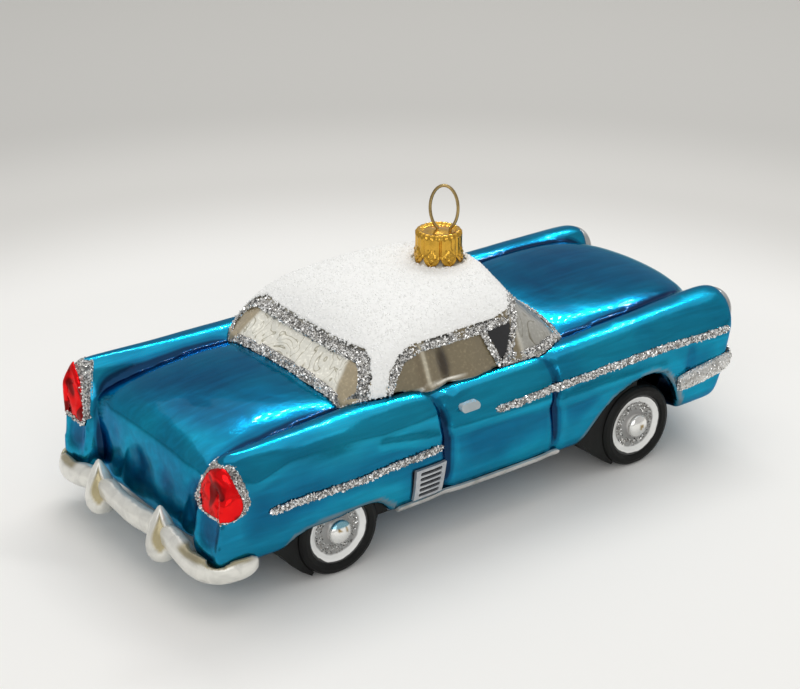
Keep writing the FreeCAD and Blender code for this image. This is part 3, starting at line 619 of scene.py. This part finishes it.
def gold_finish(name, colour, roughness):
    material, tree, shader = finish(name, Metallic=1.0, Roughness=roughness)
    drift = object_noise(tree, 500, 3)
    shades = shade(tree, drift, ((0.30, dimmed(colour, 0.72)), (0.65, colour)))
    tree.links.new(shades, shader.inputs["Base Color"])
    bump(tree, shader, object_noise(tree, 1500, 2), 0.15, 0.0002)
    return material


def lamp_finish(settings):
    material, tree, shader = finish(
        "red_lamp", Metallic=0.80, Roughness=0.20, Coat_Weight=0.15, Coat_Roughness=0.03,
        Specular_Tint=(0.9, 0.02, 0.02, 1))
    drift = object_noise(tree, 190, 1, 0.5)
    shades = shade(tree, drift, (
        (0.38, dimmed(settings.lamp_red, 0.22)), (0.44, settings.lamp_red), (0.80, (0.98, 0.010, 0.010))))
    tree.links.new(shades, shader.inputs["Base Color"])
    bump(tree, shader, drift, 0.5, 0.002)
    return material


def painted_finish(name, metallic, roughness):
    """Pearl paint whose colour each point carries."""
    material, tree, shader = finish(
        name, Metallic=metallic, Roughness=roughness, Coat_Weight=0.5, Coat_Roughness=0.08)
    drift = object_noise(tree, 260, 3, 0.8)
    shades = shade(tree, drift, ((0.30, grey(0.78)), (0.58, grey(1.0))))
    tinted = mix_colour(tree, 1.0, attribute(tree, "paint", "Color"), shades, "MULTIPLY")
    tree.links.new(tinted, shader.inputs["Base Color"])
    bump(tree, shader, object_noise(tree, 700, 2), 0.3, 0.0004)
    return material


def wheel_finish(name, axle, speck):
    """White ring, glitter ring and pearl hub, told apart by the distance from the axle in centimetres."""
    material, tree, shader = finish(
        name, Metallic=0.15, Roughness=0.25, Coat_Weight=0.4, Coat_Roughness=0.08)
    reach = distance_from(tree, (-axle, 0, -AXLE_HEIGHT), (1, 0, 1))
    strayed = sums(tree, "MULTIPLY_ADD", object_noise(tree, 260, 2), 0.0009, reach)
    scaled = sums(tree, "MULTIPLY", strayed, 100.0)
    hub, edge, white, grain = (0.84, 0.82, 0.78), (0.86, 0.85, 0.82), (0.88, 0.88, 0.86), (0.30, 0.30, 0.29)
    shades = shade(tree, scaled, (
        (0.00, speck), (0.10, speck), (0.13, hub), (0.25, edge), (0.30, (0.30, 0.29, 0.28)),
        (0.36, grain), (0.54, grain), (0.57, white), (0.675, white), (0.685, grey(0.02))))
    tree.links.new(shades, shader.inputs["Base Color"])
    return material


def tyre_finish():
    material, tree, shader = finish("black_paint", Roughness=0.5, Specular_IOR_Level=0.22)
    drift = object_noise(tree, 300, 3)
    shades = shade(tree, drift, ((0.35, grey(0.002)), (0.70, (0.006, 0.007, 0.006))))
    tree.links.new(shades, shader.inputs["Base Color"])
    bump(tree, shader, drift, 0.3, 0.0004)
    return material


def floor_finish():
    """Pale matt sweep, with painted shade that darkens it to grey away from the ornament."""
    material, tree, shader = finish("pale_floor", Roughness=0.9, Specular_IOR_Level=0.1)
    shades = shade(tree, distance_from(tree, (0.02, 0.02, 0)), (
        (0.10, (0.915, 0.908, 0.885)), (0.14, (0.880, 0.873, 0.850)), (0.21, (0.640, 0.630, 0.605)),
        (0.28, (0.520, 0.512, 0.490)), (0.55, (0.490, 0.482, 0.458))), "EASE")
    tree.links.new(shades, shader.inputs["Base Color"])
    return material


# Pieces. The numbers in the functions of x, y and z are places on the ornament in millimetres.

def body_groove(settings):
    """Depth of the moulded lines at a point of the side view. The creases stand out, so they count below 0."""
    front = ((12.6, 33.0), (13.5, 30.1), (14.2, 26.5), (13.3, 20.7), (14.0, 15.1), (14.0, 10.0))
    rear = ((-15.4, 32.0), (-14.8, 28.9), (-14.4, 25.8), (-13.9, 20.8), (-13.5, 15.5), (-14.1, 10.0))
    wing = ((50.6, 23.4), (50.2, 20.4), (50.0, 18.0))
    creases = (
        ((-57.2, 25.7), (-50.5, 28.2), (-39.6, 28.7), (-29.2, 27.3), (-21.2, 27.4), (-16.5, 27.6)),
        ((-29.3, 25.1), (-22.1, 23.5), (-16.0, 22.2)), ((-12.6, 23.2), (-7.4, 23.1), (1.5, 22.9), (12.3, 22.3)),
        ((14.7, 21.4), (23.3, 21.7), (33.0, 21.7), (43.0, 21.1)),
    )
    wide = settings.groove_width / MM / 2
    deep = settings.groove_depth

    def groove(x, z):
        near = min(line_distance(x, z, front), line_distance(x, z, rear))
        far = line_distance(x, z, wing)
        fold = min(line_distance(x, z, crease) for crease in creases)
        lip = 0.30 * deep * math.exp(-((near / wide - 1.9) / 0.6) ** 2)
        return (deep * math.exp(-(near / wide) ** 2) - lip + 0.35 * deep * math.exp(-(far / wide) ** 2)
                - 0.85 * deep * math.exp(-(fold / 1.2) ** 2))

    return groove


def body_push(settings):
    """How far a point of the body moves: hand-blown waver, trunk ripples, rings over the handle and door lines."""
    groove = body_groove(settings)
    waver_depth = settings.waver

    def distance(co, normal):
        x, y, z = co / MM
        side = max(0.0, min(1.0, (abs(y) - 22.0) / 4.0)) * abs(normal.y)
        waver = noise.noise(co * 70) * waver_depth + noise.noise(co * 210) * waver_depth * 0.35
        trunk = ease((-x - 59) / 4) * ease((22 - abs(y)) / 4) * ease((25 - z) / 4)
        waver += trunk * noise.noise(Vector((0, co.y * 170, co.z * 110))) * TRUNK_RIPPLE
        if y < -22:
            for ring_x, ring_z in HANDLE_RINGS:
                waver += RING_HEIGHT * math.exp(-((math.hypot(x - ring_x, z - ring_z) - 0.85) / 0.4) ** 2)
        return waver - (side * groove(x, z) if side else 0)

    return distance


def paint_body(mesh):
    """Marks where the lacquer gives way to the paints of BODY_PAINTS."""
    paints = np.zeros((len(BODY_PAINTS), len(mesh.vertices)), np.float32)
    arch, rim, vent, end = paints
    low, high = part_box("side_vent_right")
    outlines = []
    for axle, outline in ((AXLES["front"] / MM, FRONT_ARCH), (AXLES["rear"] / MM, REAR_ARCH)):
        outlines.append((axle, [(axle + WHEEL_RADIUS * a, WHEEL_RADIUS * b) for a, b in outline]))
    for i, v in enumerate(mesh.vertices):
        x, y, z = v.co / MM
        for axle, outline in outlines:
            if abs(x - axle) < 22 and z < 23.5:
                if abs(y) < 28.4 and inside((x, z), outline):
                    arch[i] = 1.0
                elif z > 9.5:
                    rim[i] = max(rim[i], 0.9 * ease((0.75 - line_distance(x, z, outline)) / 0.6))
        if abs(y) > 26 and low.x < v.co.x < high.x and low.z < v.co.z < high.z:
            vent[i] = 1.0
        end[i] = 0.8 * ease((x - 64.6) / 0.7) * ease((abs(y) - 13) / 3) * ease((z - 21) / 2)
    for (name, _), values in zip(BODY_PAINTS, paints):
        point_values(mesh, name, values)


class ORNAMENT_OT_glass_body(bpy.types.Operator):
    """Lacquered glass body with its door grooves and hand-blown waver"""
    bl_idname = "ornament.glass_body"
    bl_label = "Glass body"

    def execute(self, context):
        settings = context.scene.ornament
        bm = settled(smoothed(remeshed(merged("lower_body"), settings.skin_step), 4))
        bm = smoothed(pushed(bm, body_push(settings)), 1)
        made = piece("glass_body", bm, lacquer_finish(settings), nodes=("lower_body",))
        mesh = made.data
        relief = relief_of(mesh) / MM * RELIEF_GAIN
        for i, v in enumerate(mesh.vertices):
            x, y, z = v.co / MM
            # Painted reflection: the trunk's face is lightened through its relief value
            relief[i] += TRUNK_PAINTED_REFLECTION * ease((-x - 60) / 2) * ease((21 - abs(y)) / 3) * ease((27 - z) / 3)
        point_values(mesh, "relief", np.clip(0.5 + relief, 0, 1))
        paint_body(mesh)
        return {"FINISHED"}


def cabin_push(co, normal):
    """How far a point of the cabin moves: wrinkles at the back, bulged panes at the sides and a foot on the body."""
    x, _, z = co / MM
    rear = ease((-x - 19) / 4)
    side = abs(normal.y) * (1 - rear)
    swirl = math.sin(9 * noise.noise(co * 150)) * PANE_WRINKLE * rear
    post = math.exp(-((x + 9.9) / 1.3) ** 2)
    bulge = math.cos((x + 4.0) * 0.55) * PANE_BULGE - post * POST_DEPTH
    foot = CABIN_FOOT * ease((31.5 - z) / 0.8) * abs(normal.y)
    return swirl + bulge * side + foot + noise.noise(co * 240) * PANE_WRINKLE


def pane_tones(v, cream):
    """Colour of a point of the cabin, with a painted highlight on the side panes and painted shade at the top of the
    rear window, and how wrinkled it looks.
    """
    x, y, z = v.co / MM
    side = ease((abs(v.normal.y) - 0.45) / 0.25) * ease((9.5 - x) / 1.5) * ease((x + 24.5) / 2)
    tone = cream.lerp(WINDSCREEN_GREY, ease((x - 8) / 2)).lerp(PANE_BROWN, side)
    if side > 0.2:
        ring = math.hypot((x + 9.9) / 1.5, (z - 34.0) / 3.6)
        # Painted highlight: a bright upright line on each side pane
        painted_glint = 0.7 * math.exp(-((x + 14.4) / 0.45) ** 2) * ease((z - 30) / 2)
        tone = tone.lerp(Vector((0.030, 0.018, 0.006)), 0.95 * ease(1.5 - ring * 1.2))
        tone = tone.lerp(Vector((0.80, 0.74, 0.58)), painted_glint)
        tone = tone.lerp(Vector((0.16, 0.12, 0.07)), 0.6 * math.exp(-((x + 15.9) / 0.8) ** 2))
        if inside((x, z), VENT_WINDOW):
            tone = Vector((0.008, 0.008, 0.010))
    corner = ease((-x - 22) / 2) * ease((abs(y) - 15.5 - 0.35 * (34 - z)) / 1.2)
    tone = tone.lerp(Vector((0.30, 0.21, 0.08)), 0.8 * corner * (v.normal.x < -0.2))
    # Painted shade: the top of the rear window is darkened
    high = ease((z - 36.0) / 1.2) * ease((-x - 20) / 3)
    tone = tone.lerp(Vector((0.24, 0.22, 0.17)), 0.75 * high)
    return tone, ease((-x - 22) / 3) * (1 - corner) * (1 - high) + ease((x - 9) / 2)


class ORNAMENT_OT_glass_cabin(bpy.types.Operator):
    """Silvered cabin glass with the wrinkled relief of its windows"""
    bl_idname = "ornament.glass_cabin"
    bl_label = "Glass cabin"

    def execute(self, context):
        bm = pushed(smoothed(remeshed(merged("cabin"), CABIN_STEP), 3), cabin_push)
        made = piece("glass_cabin", bm, window_finish(), nodes=("cabin",))
        cream = Vector(context.scene.ornament.silver)
        colours, wrinkles = zip(*[pane_tones(v, cream) for v in made.data.vertices])
        point_colours(made.data, "pane", colours)
        point_values(made.data, "wrinkled", wrinkles)
        return {"FINISHED"}


class ORNAMENT_OT_roof_coat(bpy.types.Operator):
    """Rough white coat of the roof with its loose grains"""
    bl_idname = "ornament.roof_coat"
    bl_label = "Roof coat"

    def execute(self, context):
        settings = context.scene.ornament
        bm = smoothed(remeshed(merged("roof_coat"), COAT_STEP), 2)
        bm = pushed(bm, lambda co, n: noise.noise(co * 420) * 0.00006 + noise.noise(co * 1300) * 0.00008)
        piece("snow_coat", bm, coat_finish(settings), nodes=("roof_coat",))
        under = tree_of("cabin")

        def keep(spot, normal):
            return under.find_nearest(spot)[3] > 0.0005 and normal.z > -0.5

        spots = surface_points(merged("roof_coat"), settings.coat_cover, 11, keep)
        bm = grains(spots, settings.coat_grain, 12, shape=(1, 0.85, 0.8), sink=0.25)
        piece("coat_grains", bm, grain_finish(settings), smooth=False)
        return {"FINISHED"}


class ORNAMENT_OT_glitter(bpy.types.Operator):
    """Glued bands slimmed to their real height, and the silver flakes on them and on the front bumper"""
    bl_idname = "ornament.glitter"
    bl_label = "Glitter"

    def execute(self, context):
        settings = context.scene.ornament
        bands = ["rear_window_glitter", "windscreen_glitter"]
        for side in SIDES:
            bands += ["side_window_glitter_" + side, "front_side_trim_" + side, "rear_side_trim_" + side,
                      "tail_lamp_glitter_" + side]
        under = tree_of("cabin", "lower_body")

        def slimmer(thickness):
            return lambda co, normal: 0.00002 if under.find_nearest(co)[3] < ON_GLASS else -thickness

        def keep(spot, normal):
            return under.find_nearest(spot)[3] > 0.00015

        glue = glue_finish()
        spots = []
        for k, band in enumerate(bands):
            bm = settled(smoothed(remeshed(merged(band), BAND_STEP), 1))
            if band.startswith("tail"):
                side = band.split("_")[-1]
                scaled_about(bm, box_middle("tail_lamp_" + side), LAMP_EDGE_SCALE[side])
            bm = smoothed(pushed(bm, slimmer(WINDOW_BAND_SLIM if "wind" in band else TRIM_SLIM)), 1)
            spots += surface_points(bm.copy(), settings.glitter_cover, 21 + k, keep)
            piece("bed_" + band, bm, glue, nodes=(band,))
        chance = random.Random(5)
        spread = [Vector([chance.gauss(0, FLAKE_STRAY) for _ in range(3)]) for _ in spots]
        spots = [(spot + move, normal) for (spot, normal), move in zip(spots, spread)]
        flakes = glitter_finish("silver_glitter", 0.16, 0.30)
        piece("glitter_flakes", grains(spots, settings.glitter_size, 22), flakes, smooth=False)
        spots = surface_points(merged("front_bumper"), settings.glitter_cover * 0.7, 53, keep)
        flakes = glitter_finish("pale_glitter", 0.35, 0.2)
        piece("bumper_flakes", grains(spots, settings.glitter_size * 0.8, 54), flakes, smooth=False)
        return {"FINISHED"}


def lamp_swell(middle, half):
    """A pillow with a slanting fold over a lamp's face, from its middle and half sizes."""
    def distance(co, normal):
        u = (co.z - middle.z) / half.z
        v = (co.y - middle.y) / half.y
        dome = max(0.0, 1 - u * u) * max(0.0, 1 - v * v)
        lobe = 0.30 * math.sin(4.2 * u + 2.2 * v) * dome
        return (0.0008 * dome + 0.001 * lobe + 0.00025 * noise.noise(co * 300)) * max(0.0, -normal.x + 0.2)

    return distance


class ORNAMENT_OT_lamps(bpy.types.Operator):
    """Pillowed red tail lamps, silvered headlamps, door handles and vent panels"""
    bl_idname = "ornament.lamps"
    bl_label = "Lamps"

    def execute(self, context):
        red = lamp_finish(context.scene.ornament)
        silver = pearl_finish("lamp_silver", (0.50, 0.51, 0.51), (0.30, 0.32, 0.33), 200, 0.7, 0.25)
        for side, sign in SIDES.items():
            name = "tail_lamp_" + side
            low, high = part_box(name)
            middle, half = box_middle(name), (high - low) / 2
            grow = (1, 1 + 0.0006 / half.y, 0.96) if side == "right" else (1, 1, 1 + 0.0004 / half.z)
            bm = smoothed(remeshed(settled(merged(name)), BAND_STEP), 2)
            scaled_about(bm, middle, grow)
            bm = smoothed(pushed(bm, lamp_swell(middle, half)), 1)
            piece("red_lamp_" + side, bm, red, nodes=(name,))
            x, y, z = HEAD_LENS_PLACE
            bm = ball(HEAD_LENS_SIZE, (x, sign * y, z), 48, 32)
            piece("head_lens_" + side, bm, silver, nodes=("headlamp_" + side,))
        dress(pearl_finish("handle_silver", (0.50, 0.56, 0.58), (0.40, 0.46, 0.48), 200, 0.3, 0.35),
              "door_handle_left", "door_handle_right")
        dress(pearl_finish("vent_silver", (0.52, 0.54, 0.56), (0.38, 0.40, 0.43), 300, 0.5, 0.35),
              "side_vent_left", "side_vent_right")
        return {"FINISHED"}


def bar_swell(co, normal):
    """Uneven fullness of the rear bumper's moulding."""
    wave = noise.noise(Vector((co.x * 60, co.y * 130, 0)))
    return 0.00030 * abs(normal.z) + 0.00030 * wave + 0.00010 * noise.noise(co * 400)


class ORNAMENT_OT_bumpers(bpy.types.Operator):
    """Pearl bumpers, guards, grille and sill lines"""
    bl_idname = "ornament.bumpers"
    bl_label = "Bumpers"

    def execute(self, context):
        pearl = pearl_finish("pearl_silver", (0.66, 0.65, 0.62), (0.42, 0.41, 0.38), 240, 0.4, 0.3)
        dress(pearl, "front_bumper", "grille", "sill_trim_left", "sill_trim_right")
        white, gold = Vector((0.80, 0.79, 0.73)), Vector((0.50, 0.42, 0.22))
        paint = painted_finish("pearl_white", 0.35, 0.28)
        bm = smoothed(pushed(smoothed(remeshed(merged("rear_bumper"), BAR_STEP), 3), bar_swell), 1)
        made = piece("rear_bar", bm, paint, nodes=("rear_bumper",))
        tones = []
        for v in made.data.vertices:
            top = ease((v.normal.z - 0.45) / 0.25) * ease((abs(v.co.y) / MM - 19) / 2) * ease((-v.co.x / MM - 58) / 3)
            tones.append(white.lerp(gold * 0.7, 0.9 * top))
        point_colours(made.data, "paint", tones)
        for side, sign in SIDES.items():
            x, y, z = GUARD_PLACE
            place = Vector((x, sign * y, z)) * MM
            bm = turned(GUARD_PROFILE, place, 40)
            bmesh.ops.subdivide_edges(bm, edges=bm.edges, cuts=2, use_grid_fill=True, smooth=1.0)
            bm.normal_update()
            tones = []
            for v in bm.verts:
                local = (v.co - place) / MM
                share = max(0.0, min(1.0, (local.z - 2.8) / 8.0))
                turn = abs(math.degrees(math.atan2(abs(local.y), -local.x)) - 52)
                leaf = ease((40 * math.sin(math.pi * share ** 0.8) - turn) / 12)
                tones.append(white.lerp(gold, 0.95 * leaf))
                v.co -= 0.00045 * leaf * v.normal
            made = piece("bumper_guard_" + side, bm, paint, nodes=("rear_bumper_guard_" + side,))
            point_colours(made.data, "paint", tones)
        return {"FINISHED"}


def hub_tone(end, x, z):
    """Colour of a point of a hub: a gilt ring in front, two gilt dots behind, and on the rear hubs' tops a painted
    reflection of the blue body.
    """
    shine, gilt, painted_body_reflection = Vector((0.92, 0.91, 0.88)), Vector((0.35, 0.24, 0.08)), Vector((0.25, 0.50, 0.60))
    if end == "front":
        return gilt if 0.1 < math.hypot(x - 0.2, z) < 0.55 + 0.2 * z else shine
    if min(math.hypot(x - dot, z - 0.75) for dot in (-0.7, 0.9)) < 0.42:
        return gilt
    # Painted reflection: the top of a rear hub takes the blue of the body
    return painted_body_reflection if z > 1.15 else shine


class ORNAMENT_OT_wheels(bpy.types.Operator):
    """Moulded wheels: black tyres, white rings, glitter rings and pearl hubs"""
    bl_idname = "ornament.wheels"
    bl_label = "Wheels"

    def execute(self, context):
        settings = context.scene.ornament
        black = tyre_finish()
        chrome = painted_finish("pearl_hub", 0.8, 0.16)
        spots = []
        for end, speck in (("front", (0.45, 0.36, 0.16)), ("rear", (0.80, 0.78, 0.74))):
            axle = AXLES[end]
            disc = wheel_finish("wheel_" + end, axle, speck)

            def keep(spot, normal):
                radius = math.hypot(spot.x - axle, spot.z - AXLE_HEIGHT) / MM
                return 3.3 < radius < 5.0 and abs(normal.y) > 0.3 and (normal.y > 0) == (spot.y > 0)

            for side, sign in SIDES.items():
                dress(black, "tyre_%s_%s" % (end, side))
                name = "wheel_disc_%s_%s" % (end, side)
                dress(disc, name)
                spots += surface_points(merged(name), settings.glitter_cover * 0.75, 31, keep)
                low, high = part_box(name)
                face = high.y if side == "left" else low.y
                bm = ball(HUB_SIZE, (axle, face - sign * HUB_SINK, AXLE_HEIGHT), 32, 20)
                made = piece("hub_%s_%s" % (end, side), bm, chrome)
                point_colours(made.data, "paint", [
                    hub_tone(end, (v.co.x - axle) / MM, (v.co.z - AXLE_HEIGHT) / MM) for v in made.data.vertices])
        bm = grains(spots, settings.glitter_size * 0.8, 32)
        piece("wheel_flakes", bm, glitter_finish("wheel_glitter", 0.02, 0.55), smooth=False)
        return {"FINISHED"}


def stamped(bm, petals):
    """Presses the petals, their diamonds and the beaded rim into the spun sheet of the cap."""
    part = 360 / petals
    for v in bm.verts:
        r, h = math.hypot(v.co.x, v.co.y) / MM, v.co.z / MM
        if r < 3.3:
            continue
        # From -1 to 1 across a petal, with the pleats at both ends
        s = ((math.degrees(math.atan2(v.co.y, v.co.x)) - CAP_TURN) % part) / (part / 2) - 1
        skirt = ease((6.1 - h) / 0.7)
        pleat = -0.42 * math.exp(-((1 - abs(s)) / 0.11) ** 2) * skirt
        rib = -0.17 * math.exp(-((abs(s) - 0.34) / 0.10) ** 2) * ease((h - 3.1) / 0.5) * skirt
        leaf = abs(s) / 0.78 + abs(h - 2.0) / 1.55
        move = pleat + rib - 0.15 * math.exp(-((leaf - 1.0) / 0.13) ** 2)
        if leaf < 0.95:
            bloom = math.cos(4 * math.atan2(h - 2.0, s * 2.0))
            move += 0.14 + 0.13 * bloom * math.exp(-((leaf - 0.5) / 0.3) ** 2)
        bead = 0.16 * math.sin(2 * math.pi * (s + 1) * 1.5) * ease((h - 5.5) / 0.5) * ease((6.7 - h) / 0.2)
        scallop = 1.75 * abs(s) ** 2.4 * ease((2.6 - h) / 2.6)
        v.co.z += scallop * MM
        grow = 1 + (move + bead) / r
        v.co.x *= grow
        v.co.y *= grow


class ORNAMENT_OT_cap(bpy.types.Operator):
    """Stamped gold cap with embossed petals"""
    bl_idname = "ornament.cap"
    bl_label = "Cap"

    def execute(self, context):
        settings = context.scene.ornament
        middle = box_middle("cap")
        outer = [(5.05 - 0.25 * ease(h / 3.5), h) for h in [0.18 * k for k in range(31)]] + list(CAP_TOP)
        inner = [(max(0, r - CAP_WALL), h - CAP_WALL * (h > 5.5)) for r, h in outer]
        bm = turned(outer + inner[:-1][::-1] + [outer[0]], Vector((0, 0, 0)), 240)
        stamped(bm, settings.petals)
        bmesh.ops.translate(bm, vec=(middle.x, middle.y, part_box("cap")[0].z), verts=bm.verts)
        bm.normal_update()
        piece("petal_cap", bm, gold_finish("cap_gold", settings.gold, 0.20), body="cap", nodes=("cap",))
        return {"FINISHED"}


def loop_points(low, high):
    """The wire's middle line: up one leg, round the oval and down the other leg."""
    across = Vector((1, -1, 0)).normalized()
    foot = Vector((LOOP_PLACE, 0, 0)) + across * LOOP_OFFSET
    half_height = (high.z - WIRE_TOP - LOOP_NECK) / 1.89
    centre = high.z - WIRE_TOP - half_height
    start = math.acos(LOOP_LEG / LOOP_HALF_WIDTH)
    points = [foot + across * LOOP_LEG + Vector((0, 0, low.z))]
    for k in range(65):
        turn = -start + (math.pi + 2 * start) * k / 64
        height = Vector((0, 0, centre + half_height * math.sin(turn)))
        points.append(foot + across * (LOOP_HALF_WIDTH * math.cos(turn)) + height)
    points.append(foot - across * LOOP_LEG + Vector((0, 0, low.z)))
    return points


class ORNAMENT_OT_hanger(bpy.types.Operator):
    """Gold wire hanger: an oval loop on two legs that go down through the cap"""
    bl_idname = "ornament.hanger"
    bl_label = "Hanger"

    def execute(self, context):
        points = loop_points(*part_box("hanger_wire"))
        curve = bpy.data.curves.new("wire", "CURVE")
        curve.dimensions = "3D"
        curve.bevel_depth, curve.bevel_resolution, curve.use_fill_caps = WIRE_RADIUS, 4, True
        spline = curve.splines.new("POLY")
        spline.points.add(len(points) - 1)
        for point, place in zip(spline.points, points):
            point.co = tuple(place) + (1,)
        wire = bpy.data.objects.new("wire", curve)
        bm = bmesh.new()
        bm.from_mesh(wire.to_mesh())
        bpy.data.objects.remove(wire)
        bmesh.ops.remove_doubles(bm, verts=bm.verts, dist=1e-6)
        bmesh.ops.recalc_face_normals(bm, faces=bm.faces)
        piece("hanger_loop", bm, gold_finish("wire_gold", (0.46, 0.33, 0.14), 0.25), body="hanger",
              nodes=("hanger_wire",))
        return {"FINISHED"}


def area_lamp(name, place, size, power):
    """A rectangular lamp turned towards the ornament."""
    data = bpy.data.lights.new(name, "AREA")
    data.shape = "RECTANGLE"
    (data.size, data.size_y), data.energy = size, power
    made = bpy.data.objects.new(name, data)
    made.location = place
    made.rotation_mode = "QUATERNION"
    made.rotation_quaternion = (Vector(LAMP_AIM) - Vector(place)).to_track_quat("-Z", "Y")
    bpy.context.scene.collection.objects.link(made)


class ORNAMENT_OT_stage(bpy.types.Operator):
    """Pale sweep, soft lights and the camera at the photograph's angle"""
    bl_idname = "ornament.stage"
    bl_label = "Stage"

    def execute(self, context):
        scene = context.scene
        scene.view_settings.view_transform = "Standard"
        camera = bpy.data.objects.new("camera", bpy.data.cameras.new("camera"))
        camera.location = CAMERA_PLACE
        camera.rotation_mode = "QUATERNION"
        camera.rotation_quaternion = Vector(CAMERA_LOOK).normalized().to_track_quat("-Z", "Y")
        camera.data.lens = CAMERA_LENS
        camera.data.sensor_width = 36
        camera.data.clip_start = 0.01
        scene.collection.objects.link(camera)
        scene.camera = camera

        bm = bmesh.new()
        bmesh.ops.create_grid(bm, x_segments=1, y_segments=1, size=3)
        mesh = bpy.data.meshes.new("floor")
        bm.to_mesh(mesh)
        bm.free()
        mesh.materials.append(floor_finish())
        floor = bpy.data.objects.new("floor", mesh)
        scene.collection.objects.link(floor)

        for row in range(2):
            for k in range(STRIP_LAMPS):
                share = (k + 0.5) / STRIP_LAMPS - 0.5
                place = Vector(STRIP_MIDDLE) + Vector(STRIP_ALONG) * (share * STRIP_LENGTH)
                place.z += STRIP_GAP * row
                area_lamp("strip_%d_%02d" % (row, k), place, (0.012, 0.012), STRIP_POWER / STRIP_LAMPS / 2)
        area_lamp("overhead", (0.20, 0.20, 0.85), (1.10, 1.10), OVERHEAD_POWER)
        area_lamp("camera_side", (-0.55, -0.67, 0.46), (0.90, 0.60), CAMERA_SIDE_POWER)

        world = bpy.data.worlds.new("studio")
        scene.world = world
        world.use_nodes = True
        background = world.node_tree.nodes["Background"]
        background.inputs["Color"].default_value = (0.80, 0.795, 0.785, 1)
        background.inputs["Strength"].default_value = WORLD_STRENGTH
        return {"FINISHED"}


class ORNAMENT_PT_panel(bpy.types.Panel):
    """Sizes, colours and steps of the ornament"""
    bl_idname = "ORNAMENT_PT_panel"
    bl_label = "Glass Car Ornament"
    bl_space_type = "VIEW_3D"
    bl_region_type = "UI"
    bl_category = "Ornament"

    def draw(self, context):
        settings = context.scene.ornament
        for key in OrnamentSettings.__annotations__:
            self.layout.prop(settings, key)
        for operator in OPERATORS:
            self.layout.operator(operator.bl_idname)


OPERATORS = (
    ORNAMENT_OT_stage, ORNAMENT_OT_glass_body, ORNAMENT_OT_glass_cabin, ORNAMENT_OT_roof_coat, ORNAMENT_OT_glitter,
    ORNAMENT_OT_lamps, ORNAMENT_OT_bumpers, ORNAMENT_OT_wheels, ORNAMENT_OT_cap, ORNAMENT_OT_hanger,
)
CLASSES = (OrnamentSettings,) + OPERATORS + (ORNAMENT_PT_panel,)


def register():
    for cls in CLASSES:
        bpy.utils.register_class(cls)
    bpy.types.Scene.ornament = bpy.props.PointerProperty(type=OrnamentSettings)


def unregister():
    del bpy.types.Scene.ornament
    for cls in reversed(CLASSES):
        bpy.utils.unregister_class(cls)


def main():
    register()
    bpy.ops.ornament.stage()
    bpy.ops.ornament.glass_body()
    bpy.ops.ornament.glass_cabin()
    bpy.ops.ornament.roof_coat()
    bpy.ops.ornament.glitter()
    bpy.ops.ornament.lamps()
    bpy.ops.ornament.bumpers()
    bpy.ops.ornament.wheels()
    bpy.ops.ornament.cap()
    bpy.ops.ornament.hanger()


if __name__ == "__main__":
    main()
